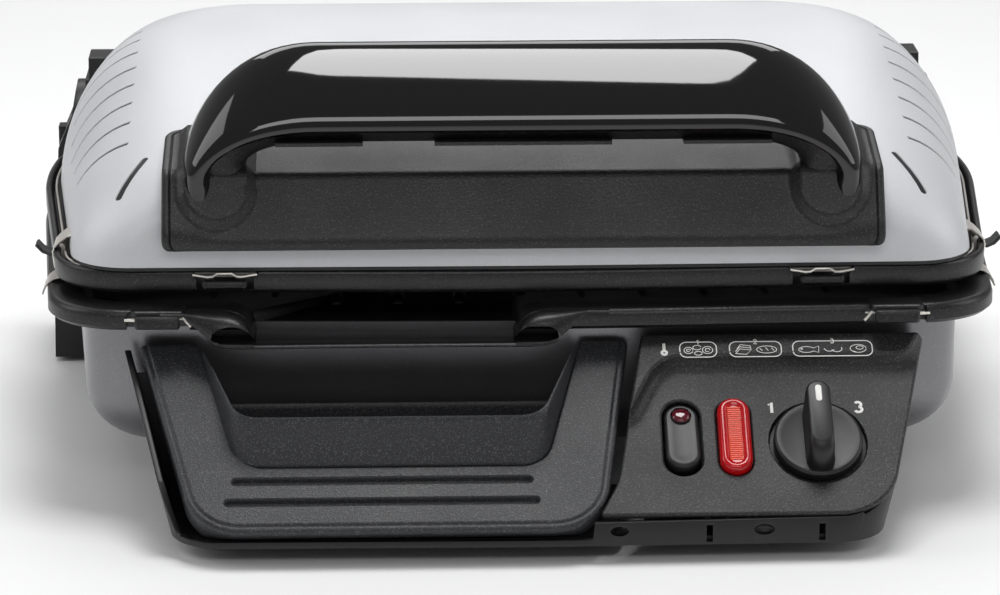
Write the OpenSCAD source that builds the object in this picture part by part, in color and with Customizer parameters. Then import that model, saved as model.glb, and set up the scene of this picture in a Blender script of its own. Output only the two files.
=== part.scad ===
// Electric indoor grill with a hinged lid, a drip tray and a tilted control panel.
// Millimetres. X is across the front, Y points to the back, Z is up, and the feet stand on Z = 0.

/* [Levels] */
// Height of the lower cooking plate's underside
lower_z = 74; // [70:1:78]
// Height of the lower plate's rim above its underside
lower_rim_h = 8; // [7:0.5:9]
// Open gap between the two rims
rim_gap = 4; // [3:0.5:6]
// Height of the upper plate's rim
upper_rim_h = 9; // [8:0.5:10]
// Height of the cooking ribs
rib_h = 3.5; // [2:0.5:4]
// Highest point of the lid's top
lid_top_z = 159; // [154:1:162]
// Highest point of the handle
handle_top_z = 180; // [176:1:184]

/* [Plan] */
// Front edge of the lower plate's rim
lower_front_y = -104; // [-106:1:-102]
// Front edge of the upper plate's rim
upper_front_y = -94; // [-96:1:-92]
// Rear edge of both rims
rim_rear_y = 136; // [134:1:137]
// Half width of the rims where their sides would meet
rim_half_w = 194; // [190:1:195]
// Inset of the base pan from the lower rim
pan_inset = 13; // [11:1:15]
// Sheet thickness of the lid and the pan
sheet = 1.4; // [1.2:0.2:2.4]

/* [Console] */
// Front face of the console
front_y = -160; // [-161:1:-158]
// Slope of the control panel from level
panel_tilt = 37; // [35:1:39]
// Height of the panel's front edge
panel_z = 17; // [15:1:19]
// Height of the console above the table
ground_gap = 7; // [5:1:9]
// Half width of the console at the plates
console_top_w = 153.6; // [150:0.2:155]
// Inward lean of the console's side walls
side_lean = 0.235; // [0.15:0.005:0.25]
// Wall thickness of moulded parts
wall = 2.5; // [2:0.25:3]

/* [Controls] */
// Radius of the thermostat knob
knob_r = 18.3; // [16:0.1:19]
// Height of the knob's grip above its disc
knob_grip_h = 14; // [10:1:16]
// Radius of the thermostat shaft
shaft_r = 3; // [2.5:0.1:4]
// Length of the switch and lamp openings
window_len = 34; // [30:1:36]
// Width of the switch opening
switch_w = 14.2; // [12:0.2:15]
// Width of the lamp opening
lamp_w = 12.8; // [11:0.2:14]
// Tilt of the switch button at rest
rocker_tilt = 6; // [4:1:8]

/* [Tray] */
// Length of the drip basin, back to front
basin_len = 43.6; // [40:0.2:43.6]
// Wall of the drip tray
tray_wall = 1.8; // [1.4:0.2:2.4]

/* [Hinge] */
// Distance of the hinge axis from the origin
hinge_y = 140; // [139:0.5:141]
// Height of the hinge axis with the lid closed
hinge_z = 91; // [90:0.5:92]
// Upward travel of the hinge in its slots
lift = 16; // [10:1:18]
// Radius of the hinge rod's journals
journal_r = 4; // [3.5:0.1:4.5]
// Outer face of the hinge posts
post_out_x = 195.5; // [194:0.5:197]
// Back face of the hinge posts
post_rear_y = 163; // [162:0.5:164]

/* [Hidden] */
$fn = 48;
fillet_steps = 5;                               // facets in each rounded corner of an outline
lower_top = lower_z + lower_rim_h;              // top of the lower rim
upper_z = lower_top + rim_gap;                  // underside of the upper rim
upper_top = upper_z + upper_rim_h;              // top of the upper rim
frame_h = 1.5;                                  // thickness of the frame under the lid shell
lid_z = upper_top + frame_h;                    // lower edge of the lid shell
plate_t = 3;                                    // thickness of a cooking plate
plate_border = 16;                              // width of a plate's flat border
lip_t = 2.5;                                    // thickness of the upper rim's outer lip
pan_z = 20;                                     // underside of the base pan
sill_z = ground_gap + wall;                     // top of the console's floor
bay_rear_y = -95.6;                             // rear edge of the tray bay's floor
screw_at = [[60, -104], [130, -104], [60, -148], [116, -147]];
panel_len = 82;                                 // length of the panel up its slope
panel_left_x = 45;                              // where the panel meets the tray bay, at the plates
bay_slant = 10;                                 // how far the bay's right side runs in towards the front
knob_at = [109.3, 34.6];                        // places on the panel: across, and up the slope
switch_at = [58.2, 37.2];
lamp_at = [78, 37.2];
handle_c = [0, -79, handle_top_z - 15.6];       // centre of the handle's bar
handle_leg_x = 124;                             // centre of each handle leg
base_w = 137;                                   // half width of the handle base
post_in_x = 181;                                // inner face of the hinge posts
arm_out_x = post_in_x - 0.7;
arm_in_x = 168.5;
latch_y = -50;                                  // where the side latches sit
lower_tab_x = [-139.5, 142];                    // centres of the release tabs under the rims
upper_tab_x = [-114, 114];

black = "#1b1b1d";
soft_black = "#26272a";
steel = "#b9bcc0";
plate_grey = "#2b2b2c";

// ---- shared geometry ----

function unit(v) = v / norm(v);

// Points of a fillet of radius r at corner b between neighbours a and c
function fillet(a, b, c, r, n) =
    let (u = unit(a - b), w = unit(c - b), half = acos(u * w) / 2,
         mid = b + unit(u + w) * r / sin(half), p = b + u * r / tan(half) - mid,
         q = b + w * r / tan(half) - mid, a0 = atan2(p[1], p[0]),
         turn = (atan2(q[1], q[0]) - a0 + 540) % 360 - 180)
    [for (i = [0 : n]) mid + r * [cos(a0 + turn * i / n), sin(a0 + turn * i / n)]];

// Closed outline through corners [x, y, radius]
function rounded(v, n = fillet_steps) =
    let (m = len(v), xy = [for (p = v) [p[0], p[1]]])
    [for (i = [0 : m - 1])
        each fillet(xy[(i + m - 1) % m], xy[i], xy[(i + 1) % m], v[i][2], n)];

// A left-right symmetric outline from its right half, front middle first
function both_sides(front, half) =
    let (other = [for (i = [len(half) - 1 : -1 : 0]) [-half[i][0], half[i][1], half[i][2]]])
    rounded(concat([front], half, other));

// Barrel outline of the cooking plates, inset by d
function rim_outline(front, corner_x, d) =
    both_sides([0, front + d, 1500],
        [[corner_x - d, front + 6 + d, 31 - d * 0.6], [rim_half_w - d, 60, 220 - 3 * d],
         [rim_half_w - 7.5 - d, rim_rear_y - d, 54 - d * 0.8]]);
function lower_outline(d = 0) = rim_outline(lower_front_y, 181, d);
function upper_outline(d = 0) = rim_outline(upper_front_y, 178, d);

// Outline of the lid drawn in by side, front and back amounts
function lid_outline(side = 0, front = 0, back = 0) =
    both_sides([0, upper_front_y + 2 + front, 1500],
        [[171.8 - side, upper_front_y + 4 + front, 24],
         [rim_half_w - 6.4 - side, 60 - back * 0.4, 200 - 2 * side],
         [rim_half_w - 14 - side, rim_rear_y - 8 - back, 46 - side * 0.3]]);

// Height of the lid's top along Y
function lid_crown(y) = lid_top_z - 0.0011 * pow(y - 88, 2);

module prism(points, z0, z1) translate([0, 0, z0]) linear_extrude(z1 - z0) polygon(points);

// Solid through a stack of closed rings, each anticlockwise when seen from the last ring's side.
// Two solids that share a twisted wall fit if just one of them is flipped.
module loft(rings, flip = false) {
    n = len(rings[0]);
    last = len(rings) - 1;
    points = [for (r = rings) each r];
    walls = [for (k = [0 : last - 1], i = [0 : n - 1])
        let (a = k * n + i, b = k * n + (i + 1) % n)
        each (flip ? [[a, a + n, b], [b, a + n, b + n]] : [[a, b + n, b], [a, a + n, b + n]])];
    polyhedron(points, concat([[for (i = [0 : n - 1]) i]], walls,
        [[for (i = [n - 1 : -1 : 0]) last * n + i]]), convexity = 6);
}

module both() {
    children();
    mirror([1, 0, 0]) children();
}

// Straight slot with round ends, its length along Y
module slot(length, width, z0, z1) {
    run = (length - width) / 2;
    translate([-width / 2, -run, z0]) cube([width, 2 * run, z1 - z0]);
    for (s = [-1, 1]) translate([0, s * run, z0]) cylinder(d = width, h = z1 - z0);
}

// Local frame of the panel: X across, Y up the slope, Z out of the panel
module on_panel(at = [0, 0]) translate([0, front_y, panel_z]) rotate([panel_tilt, 0, 0])
    translate([at[0], at[1], 0]) children();

// Everything under the panel plane, lowered by d
module under_panel(d = 0) on_panel() translate([-250, -80, -300 - d]) cube([500, 320, 300]);

// ---- base ----

function pan_ring(d, z) = [for (p = lower_outline(pan_inset + d)) [p[0], p[1], z]];
pan_round = 24;                                 // height of the pan's rounded lower edge
module pan_form(d) loft(concat(
    [for (a = [90 : -22.5 : 0])
        pan_ring(d + pan_round * (1 - cos(a)), pan_z + d + pan_round * (1 - sin(a)))],
    [pan_ring(d, lower_z - (d > 0 ? -1 : 0))]));

module base_pan() color("#3c3e42") difference() {
    pan_form(0);
    pan_form(sheet);
    for (x = [-60 : 30 : 60]) translate([x, 60, pan_z - 1]) cylinder(r = 4, h = 6);
}

// Outline of the console at height z, inset by d; its side walls lean in towards the table
function console_outline(z, d) =
    let (lean = side_lean * (67 - z) + d)
    both_sides([0, front_y + d, 900],
        [[console_top_w - 7.6 - lean, front_y + 2 + d, 22 - d], [console_top_w - lean, -91.4 - d, 1]]);
module console_form(d, z0, z1)
    loft([for (z = [z0, z1]) [for (p = console_outline(z, d)) [p[0], p[1], z]]]);
bay_right = [[panel_left_x, -93], [panel_left_x - bay_slant, front_y]];

module console() color(soft_black) {
    difference() {
        intersection() {
            difference() {
                console_form(0, ground_gap, 75);
                console_form(wall, ground_gap - 1, 76);
            }
            under_panel(3);
        }
        // the tray comes out through the front, left of the panel
        translate([-200, front_y - 5, sill_z]) cube([200 + panel_left_x - bay_slant + 2, 20, 60]);
        translate([-200, front_y - 5, sill_z + 6]) cube([90, 29, 60]);
        translate([-200, front_y - 5, sill_z + 16]) cube([70, 70, 60]);
        // dimples and drain slots in the front wall
        for (x = [34, 87]) translate([x, front_y, 14.5]) sphere(r = 2.2);
        for (x = [67, 108]) translate([x - 1.2, front_y - 1, ground_gap + 1]) cube([2.4, 6, 6]);
    }
    // bay floor and the wall between the bay and the controls
    intersection() {
        prism([[-200, bay_rear_y], [panel_left_x + wall, bay_rear_y],
            [panel_left_x + wall - bay_slant, front_y + 6], [-200, front_y + 6]], ground_gap, sill_z);
        console_form(wall, 0, 80);
    }
    intersection() {
        prism([[panel_left_x, bay_rear_y], [panel_left_x + wall, bay_rear_y],
            [panel_left_x - bay_slant + wall, front_y + wall], [panel_left_x - bay_slant, front_y + wall]],
            sill_z, 75);
        under_panel(3);
    }
    // screw bosses
    for (p = screw_at) translate([p[0], p[1], sill_z]) difference() {
        cylinder(r = 3.2, h = 5);
        translate([0, 0, -1]) cylinder(r = 1.3, h = 7);
    }
}

module console_bottom() color(soft_black) difference() {
    intersection() {
        prism([[panel_left_x + 3, -96], [200, -96], [200, front_y], [panel_left_x - bay_slant + 6, front_y]],
            ground_gap + 0.2, sill_z);
        console_form(wall + 0.2, 0, 20);
    }
    for (p = screw_at) translate([p[0], p[1], 0]) cylinder(r = 1.7, h = 20);
    for (x = [68 : 8 : 92]) translate([x, -126, ground_gap]) slot(26, 3, -1, 4);
}

shelf_v = 71.5;                                 // where the raised shelf starts up the slope
shelf_h = 4.5;                                  // how far the shelf stands out of the panel
// The shelf for the cooking pictures runs along the top, and its left end curves down the slope
module shelf_plan() polygon(rounded([[30, 84, 1], [30, 46, 1], [38, 46, 1], [47, shelf_v, 20],
    [148, shelf_v, 8], [153, 84, 1]]));

module control_panel() color(soft_black) difference() {
    intersection() {
        union() {
            on_panel() translate([0, -20, -3]) cube([170, panel_len + 20, 3]);
            on_panel() linear_extrude(shelf_h) shelf_plan();
        }
        console_form(0, ground_gap + 6, 75);
        prism([[panel_left_x - 0.6, -90], [200, -90], [200, front_y - 1],
            [panel_left_x - 0.6 - bay_slant, front_y - 1]], 0, 90);
    }
    on_panel(switch_at) slot(window_len, switch_w, -5, 5);
    on_panel(lamp_at) slot(window_len, lamp_w, -5, 5);
    on_panel(knob_at) cylinder(r = 5.05, h = 20, center = true);
}

beam_y = rim_rear_y - pan_inset;                // front face of the beam behind the pan
beam_d = 14;                                    // depth of the beam
module beam_screws() both() for (z = [52, 66])
    translate([post_in_x + 2, beam_y + 3.5, z]) rotate([0, -90, 0]) cylinder(r = 1.5, h = 8);
gland_at = [118, 58];                           // place of the cord gland: across, and height
module rear_beam() color(black) difference() {
    translate([-post_in_x, beam_y, 46]) cube([2 * post_in_x, beam_d, 26]);
    translate([-158, beam_y + wall, 43]) cube([316, beam_d - 2 * wall, 26.5]);
    translate([gland_at[0], beam_y - 1, gland_at[1]]) rotate([-90, 0, 0]) cylinder(r = 5, h = 30);
    // room for the hinge arms when the lid lies open
    both() translate([arm_in_x - 2, beam_y + 7, 40]) cube([20, 10, 40]);
    beam_screws();
}

// Side view of a hinge post: a foot that reaches forward, and a round head over the hinge slot
module post_side() difference() {
    union() {
        translate([106, 0]) square([post_rear_y - 106, 58]);
        translate([118, 0]) square([post_rear_y - 118, 96]);
        translate([hinge_y + 0.5, 95.5]) circle(r = 21.8);
    }
    translate([hinge_y - journal_r - 0.3, hinge_z - 7]) square([2 * journal_r + 0.6, lift + 14]);
}

module hinge_post(side) color(black) difference() {
    mirror([side < 0 ? 1 : 0, 0, 0]) intersection() {
        translate([post_in_x, 0, 0]) rotate([90, 0, 90]) linear_extrude(post_out_x - post_in_x) post_side();
        translate([0, 200, 0]) rotate([90, 0, 0]) linear_extrude(200)
            polygon([[post_in_x, 2], [post_out_x, 2], [post_out_x - 0.8, 50], [post_out_x - 3, 92],
                [post_out_x - 9, 106], [post_out_x - 11, 120], [post_in_x, 120]]);
    }
    beam_screws();
}
module hinge_post_left() hinge_post(-1);
module hinge_post_right() hinge_post(1);

module front_feet() color("#111112") for (s = [-1, 1])
    translate([s * 104, -124, 0]) cylinder(r = 8, h = ground_gap);
module rear_feet() color("#111112") for (s = [-1, 1])
    translate([s * (post_in_x + 7), 144, 0]) cylinder(r = 6.5, h = 2);

// ---- plates, heaters and reflectors ----

module ribs(x_half, y0, y1, z0, z1) for (x = [-x_half : 24 : x_half])
    translate([x - 2.5, y0, z0]) cube([5, y1 - y0, z1 - z0]);

spout_x = [-103, -3];                           // left and right ends of the pouring lip
ear_x = [-116.5, 10];                           // centres of the two ears beside the lip
ear_r = 12;
module lower_plate() color(plate_grey) {
    floor_z = lower_z + plate_t;
    difference() {
        prism(lower_outline(), lower_z, lower_top);
        prism(lower_outline(plate_border), floor_z, lower_top + 1);
        // the rim opens at the pouring lip
        translate([spout_x[0], lower_front_y - 5, lower_z - 1]) cube([spout_x[1] - spout_x[0], 26, 20]);
        for (x = ear_x) translate([x, lower_front_y + 7, lower_z - 4]) rotate([90, 0, 0])
            cylinder(r = ear_r - 2.5, h = 20);
        // pockets for the release tabs
        for (x = lower_tab_x) translate([x - 12, lower_front_y - 1, lower_z - 1]) cube([24, 13, 7.5]);
    }
    intersection() {
        ribs(144, -84, 116, floor_z, floor_z + rib_h);
        prism(lower_outline(plate_border), 0, 100);
    }
    // lip that slopes down over the tray, and its ears
    translate([spout_x[0], 0, 0]) rotate([90, 0, 90]) linear_extrude(spout_x[1] - spout_x[0])
        polygon([[-83, floor_z], [-110, 71.5], [-111, 69.5], [-109, 69], [-92.5, lower_z], [-83, lower_z]]);
    for (x = ear_x) translate([x, lower_front_y + 6, lower_z - 4]) rotate([90, 0, 0]) intersection() {
        difference() {
            cylinder(r = ear_r, h = 13);
            translate([0, 0, -1]) cylinder(r = ear_r - 2.5, h = 15);
        }
        translate([-20, 0, 0]) cube([40, 20, 20]);
    }
}

module lower_reflector() color(steel) {
    difference() {
        prism(lower_outline(pan_inset + 14), 48, 62);
        prism(lower_outline(pan_inset + 15.2), 49.2, 63);
    }
    for (s = [-1, 1], y = [-40, 80]) translate([s * 110, y, pan_z + sheet])
        cylinder(r = 4, h = 48 - pan_z - sheet);
}

heater_r = 3.3;                                 // radius of a heater's sheath
// Heating element: four runs joined by half turns, with both tails at the same end
module heater(z, runs_x = 118, pitch = 46, y0 = -52) {
    for (i = [0 : 3]) translate([-runs_x, y0 + i * pitch, z]) rotate([0, 90, 0])
        cylinder(r = heater_r, h = 2 * runs_x, $fn = 24);
    for (i = [0 : 2]) translate([i % 2 == 0 ? -runs_x : runs_x, y0 + (i + 0.5) * pitch, z])
        rotate([0, 0, i % 2 == 0 ? 90 : -90]) rotate_extrude(angle = 180) translate([pitch / 2, 0])
        circle(r = heater_r, $fn = 24);
    for (i = [0, 3]) translate([runs_x, y0 + i * pitch, z]) rotate([0, 90, 0])
        cylinder(r = heater_r - 1.2, h = 16, $fn = 24);
}
module heater_clips(z0, z1) for (s = [-1, 1], i = [0 : 3])
    translate([s * 70 - 5, -52 + i * 46 - 6, z0]) cube([10, 12, z1 - z0]);

lower_heater_z = 62;
module lower_heater() color("#6f6a66") heater(lower_heater_z);
module lower_heater_clips() color(steel) heater_clips(49.2, lower_heater_z - heater_r);

upper_heater_z = 105;
module upper_plate() color(plate_grey) {
    roof_z = upper_top - plate_t;
    difference() {
        prism(upper_outline(), upper_z, upper_top);
        prism(upper_outline(plate_border), upper_z - 1, roof_z);
        difference() {
            prism(upper_outline(lip_t), upper_top - 5, upper_top + 1);
            prism(upper_outline(9), upper_top - 6, upper_top + 2);
        }
        for (x = upper_tab_x) translate([x - 12, upper_front_y - 1, upper_z + 1.5]) cube([24, 13, 10]);
    }
    intersection() {
        ribs(144, -72, 116, roof_z - rib_h, roof_z);
        prism(upper_outline(plate_border), 0, 100);
    }
}
module upper_heater() color("#6f6a66") heater(upper_heater_z);
module upper_heater_clips() color(steel) heater_clips(upper_heater_z + heater_r, 112);
module upper_reflector() color(steel) {
    prism(upper_outline(42), 112, 113.2);
    for (s = [-1, 1], y = [-40, 70]) translate([s * 124, y, 113.2]) cylinder(r = 3.5, h = 6);
}

// ---- lid ----

shoulder = [50, 14, 30];                        // how far the lid rounds in: side, front, back
function lid_ring(a, d) =
    let (k = 1 - cos(a), lean = 3 * sin(a))
    [for (p = lid_outline(shoulder[0] * k + lean + d, shoulder[1] * k + d, shoulder[2] * k + d))
        [p[0], p[1], lid_z + (lid_crown(p[1]) - d - lid_z) * sin(a)]];
// Closing rings over the top follow the crown
function cap_ring(f, d) =
    let (mid_y = 20)
    [for (p = lid_ring(90, d))
        [p[0] * f, mid_y + (p[1] - mid_y) * f, lid_crown(mid_y + (p[1] - mid_y) * f) - d]];
// The last ring is level, so that its face is flat
function cap_end(d) = [for (p = cap_ring(0.04, d)) [p[0], p[1], lid_crown(20) - d]];
module lid_form(d) loft(concat(
    d > 0 ? [[for (p = lid_ring(0, d)) p - [0, 0, 2]]] : [],
    [for (a = [0 : 15 : 90]) lid_ring(a, d)],
    [for (f = [0.75, 0.5, 0.25]) cap_ring(f, d)], [cap_end(d)]));

slot_pitch = 16;                                // distance between the lid's vent slots
slot_turn = 28;                                 // how far the vent slots slant back outwards
module lid_shell() color("#d7d9dc") difference() {
    lid_form(0);
    lid_form(sheet);
    handle_seat();
    both() for (y = [-41 : slot_pitch : 103]) translate([153, y, 113.5]) rotate([0, 0, slot_turn])
        cube([30, 1.4, 44]);
    // wide slots at the front corners
    both() translate([150.3, -66.6, 115]) rotate([0, 0, -59]) translate([-13, -1.7, 0]) cube([26, 3.4, 16]);
    both() translate([handle_leg_x, handle_screw_y, 110]) cylinder(r = 2.1, h = 30);
}

module upper_frame() color(black) translate([0, 0, upper_top]) linear_extrude(frame_h) difference() {
    union() {
        polygon(lid_outline());
        translate([-arm_out_x, 92]) square([2 * arm_out_x, 35.5]);
    }
    polygon(upper_outline(30));
}

// Side view of a hinge arm: a boss on the axis and a head that rises beside the lid
module arm_side() difference() {
    union() {
        translate([hinge_y, hinge_z]) circle(r = 9);
        polygon([[117.5, lid_z], [131, lid_z - 3], [134, 84.5], [148, 94], [147, 112], [140, 131],
            [122, 131], [118.5, 112]]);
    }
    translate([hinge_y, hinge_z]) circle(r = journal_r + 0.05);
    translate([90, upper_top - 20]) square([38, 20 + frame_h]);
}
module hinge_arm(side) color(black) mirror([side < 0 ? 1 : 0, 0, 0])
    difference() {
        translate([arm_in_x, 0, 0]) rotate([90, 0, 90]) linear_extrude(arm_out_x - arm_in_x) arm_side();
        translate([arm_out_x - 1.5, 90, 122]) cube([5, 60, 20]);
    }
module hinge_arm_left() hinge_arm(-1);
module hinge_arm_right() hinge_arm(1);

// Side view of the handle base, a thick skin over the lid's front
handle_base_side = [[-94.5, 102], [-97.5, 104.5], [-97.5, 107], [-85.5, 131], [-82, 133], [-46, 142],
    [-44, 139.5], [-80, 126], [-92, 105]];
handle_screw_y = -72;                           // where the screws come up into the handle's legs
module handle_seat() rotate([90, 0, 90]) translate([0, 0, -base_w]) linear_extrude(2 * base_w)
    polygon(handle_base_side);
module handle_base() color(soft_black) difference() {
    handle_seat();
    both() translate([handle_leg_x, handle_screw_y, 130]) cylinder(r = 2.1, h = 30, center = true);
}

// The handle's centre line turns down through 90 degrees at each end
handle_turn = [44, 34];                         // how wide and how high the turn is
function handle_at(a, side) =
    [side * (handle_leg_x - handle_turn[0] + handle_turn[0] * sin(a)),
     handle_c[1] + 2 * (1 - cos(a)), handle_c[2] - handle_turn[1] * (1 - cos(a))];
// Half of the handle's section: sense 1 is the outer half, -1 the inner half
function handle_section(centre, along, a, side, sense) =
    let (grip = 22 - 4 * (1 - cos(a)), thick = 7 - 1 * (1 - cos(a)), lean = 42 - 36 * (1 - cos(a)),
         wide = [0, cos(lean), sin(lean)], out = unit(cross(along, wide)))
    [for (t = [0 : 15 : 180]) centre + wide * grip * sense * cos(t) + out * thick * sense * pow(sin(t), 0.8)];
function handle_ring(a, side, sense) =
    handle_section(handle_at(a, side), [cos(a), 0, -side * sin(a)], a, side, sense);
function handle_foot(side, sense) =
    [for (p = handle_ring(90, side, sense)) p - [0, 0, 34]];
function handle_rings(sense) = concat([handle_foot(-1, sense)],
    [for (a = [90 : -15 : 0]) handle_ring(a, -1, sense)],
    [for (a = [0 : 15 : 90]) handle_ring(a, 1, sense)], [handle_foot(1, sense)]);
module under_handle_base() rotate([90, 0, 90]) translate([0, 0, -200]) linear_extrude(400)
    polygon([[-97.5, 0], [-97.5, 107], [-85.5, 131], [-82, 133], [-46, 142], [-40, 142], [-40, 0]]);
module handle_cover() color("#0a0a0b") difference() {
    loft(handle_rings(1));
    under_handle_base();
}
module handle_insert() color(black) difference() {
    loft(handle_rings(-1), flip = true);
    under_handle_base();
}
module handle_screws() color(steel) both() translate([handle_leg_x, handle_screw_y, 122]) {
    cylinder(r = 2, h = 11);
    cylinder(r = 4, h = 2.5);
}

// ---- hinge ----

stub_r = 2.5;                                   // radius of the rod's ends in the sliders
// Length of the rod's cylinder of radius r, out to a distance x from the middle
module rod_part(r, x) translate([0, hinge_y, hinge_z]) rotate([0, 90, 0])
    cylinder(r = r, h = 2 * x, center = true);
module hinge_rod() color(steel) union() {
    rod_part(3, arm_in_x);
    difference() {
        rod_part(journal_r, post_in_x + 1);
        rod_part(journal_r + 1, arm_in_x - 0.5);
    }
    difference() {
        rod_part(stub_r, post_out_x - 2);
        rod_part(journal_r, arm_in_x);
    }
}
module hinge_sliders() color("#3a3b3d") difference() {
    both() translate([post_in_x + 1.5, hinge_y - journal_r, hinge_z - 6.5]) cube([11, 2 * journal_r, 13]);
    rod_part(stub_r, post_out_x);
}

// ---- controls ----

module thermostat() color("#8d8f92") on_panel(knob_at) difference() {
    union() {
        translate([-13, -11, -21]) cube([26, 22, 15]);
        translate([0, 0, -6]) cylinder(r = 5, h = 6);
        translate([0, 0, -6]) cylinder(r = 8, h = 3);
    }
    translate([0, 0, -15]) cylinder(r = shaft_r + 0.05, h = 30);
}
module knob_shaft() color(steel) on_panel(knob_at) translate([0, 0, -14]) cylinder(r = shaft_r, h = 24);
module knob() color(soft_black) on_panel(knob_at) difference() {
    union() {
        translate([0, 0, 0.8]) cylinder(r = knob_r, h = 2.6);
        translate([0, 0, 3.4]) cylinder(r1 = knob_r, r2 = knob_r - 1.2, h = 0.8);
        translate([0, -1, 3.4]) rotate([90, 0, 90]) translate([0, 0, -5]) linear_extrude(10)
            polygon([[-16.5, 0], [16.5, 0], [19, knob_grip_h - 1], [18, knob_grip_h], [-9, knob_grip_h],
                [-12.5, knob_grip_h - 3]]);
    }
    translate([0, 0, -1]) cylinder(r = shaft_r, h = 11);
}
module switch_body() color("#2e2e30") on_panel(switch_at) difference() {
    translate([-switch_w / 2 - 2, -window_len / 2 - 2, -20]) cube([switch_w + 4, window_len + 4, 17]);
    translate([0, 0, 0]) slot(window_len, switch_w, -13, 1);
    translate([0, 0, -7]) rotate([0, 90, 0]) cylinder(r = 1.25, h = 30, center = true);
}
// The button turns about a small axle behind the panel
module on_rocker() on_panel(switch_at) translate([0, 0, -7]) rotate([-rocker_tilt, 0, 0]) children();
jewel_v = 9.5;                                  // distance of the jewel from the button's middle
module rocker_button() color(black) on_rocker() difference() {
    union() {
        slot(window_len - 3, switch_w - 1.2, -2.5, 8);
        rotate([0, 90, 0]) cylinder(r = 1.2, h = switch_w + 3.4, center = true);
    }
    translate([0, jewel_v, 5.5]) cylinder(r = 3.3, h = 5);
}
module rocker_jewel() color("#8c1420") on_rocker() translate([0, jewel_v, 5.5]) {
    cylinder(r = 3.3, h = 2);
    translate([0, 0, 2]) cylinder(r1 = 3.3, r2 = 1.8, h = 1);
}
module pilot_lens() color("#d61a1f") on_panel(lamp_at) {
    slot(window_len - 0.4, lamp_w - 0.4, -5, 1.2);
    slot(window_len - 3, lamp_w - 3, 1.2, 2.4);
}
module lamp_holder() color("#d8d4c8") on_panel(lamp_at)
    translate([-lamp_w / 2, -window_len / 2, -17]) cube([lamp_w - 2, window_len, 12]);
module terminal_block() color("#e6e2d6") translate([68, -116, sill_z]) difference() {
    cube([34, 14, 11]);
    for (i = [0 : 2]) translate([7 + i * 10, 7, 4]) cylinder(r = 2.6, h = 10);
}
module cord_gland() color(black)
    translate([gland_at[0], beam_y + 6, gland_at[1]]) rotate([-90, 0, 0]) difference() {
        union() {
            cylinder(r = 4.9, h = 8);
            translate([0, 0, 8]) cylinder(r1 = 8, r2 = 6.5, h = 4.5);
        }
        translate([0, 0, -1]) cylinder(r = 3.2, h = 20);
    }
module base_screws() color(steel) {
    for (p = screw_at) translate([p[0], p[1], ground_gap + 0.2]) cylinder(r = 1.3, h = 7);
    beam_screws();
}

// ---- drip tray ----

// Outline of the tray's front frame in the panel's plane, drawn in by d
module tray_outline(d = 0) polygon(rounded([[d - 147, 84, 2], [d * 0.9 - 126.5, d - 3, 22 - d],
    [28.5 - d * 0.9, d - 3, 22 - d], [39.2 - d, 84, 2]]));
module tray_front_plan() difference() {
    tray_outline();
    polygon(rounded([[-125, 90, 2], [-108, 25.5, 11], [5, 25.5, 11], [21.5, 90, 2]]));
}
module drip_tray() color("#3a3c41") {
    basin_front = -138;
    basin_rear = basin_front + basin_len;
    tray_z = sill_z + 0.4;
    difference() {
        union() {
            intersection() {
                on_panel() translate([0, 0, -1.5]) linear_extrude(2.5) tray_front_plan();
                translate([-200, -170, 0]) cube([400, 73, 100]);
            }
            // front skirt under the face
            intersection() {
                on_panel() translate([0, 0, -14]) linear_extrude(13) difference() {
                    tray_outline();
                    tray_outline(2);
                }
                translate([-200, -170, tray_z]) cube([400, 73, 100]);
            }
        }
        for (v = [10, 19.3]) on_panel([-54.5, v]) rotate([0, 0, 90]) slot(v > 15 ? 107 : 112, 2, 0.3, 2);
    }
    // basin with a rim that rises towards the plates
    difference() {
        intersection() {
            prism([[-110.8, basin_front], [6.8, basin_front], [22, basin_rear], [-126, basin_rear]],
                tray_z, 80);
            rotate([90, 0, 90]) translate([0, 0, -200]) linear_extrude(400)
                polygon([[basin_front - 1, 0], [basin_front - 1, 51], [basin_rear - 5, 64],
                    [basin_rear - 2, 64], [basin_rear - 2, 44], [basin_rear + 1, 44], [basin_rear + 1, 0]]);
        }
        prism([[-109, basin_front + tray_wall], [5, basin_front + tray_wall],
            [20, basin_rear - tray_wall], [-124, basin_rear - tray_wall]],
            tray_z + tray_wall, 81);
    }
}

// ---- plate releases ----

module release_tab(x, y, z) color(black) translate([x, y, z]) {
    translate([-8.3, 0, 0]) cube([16.6, 4, 4.2]);
    translate([-4, 4, 0.6]) cube([8, 3, 3]);
}
module lower_release_left() release_tab(lower_tab_x[0], lower_front_y + 0.5, lower_z + 1);
module lower_release_right() release_tab(lower_tab_x[1], lower_front_y + 0.5, lower_z + 1);
module upper_release_left() release_tab(upper_tab_x[0], upper_front_y + 0.3, upper_z + 2.2);
module upper_release_right() release_tab(upper_tab_x[1], upper_front_y + 0.3, upper_z + 2.2);
module lower_release_springs() color(steel) for (x = lower_tab_x)
    translate([x, lower_front_y + 11.4, lower_z + 3]) rotate([0, 90, 0])
        cylinder(r = 0.6, h = 24, center = true, $fn = 16);
module upper_release_springs() color(steel) for (x = upper_tab_x)
    translate([x, upper_front_y + 11.4, upper_z + 5]) rotate([0, 90, 0])
        cylinder(r = 0.6, h = 24, center = true, $fn = 16);

// ---- side latches ----

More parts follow.
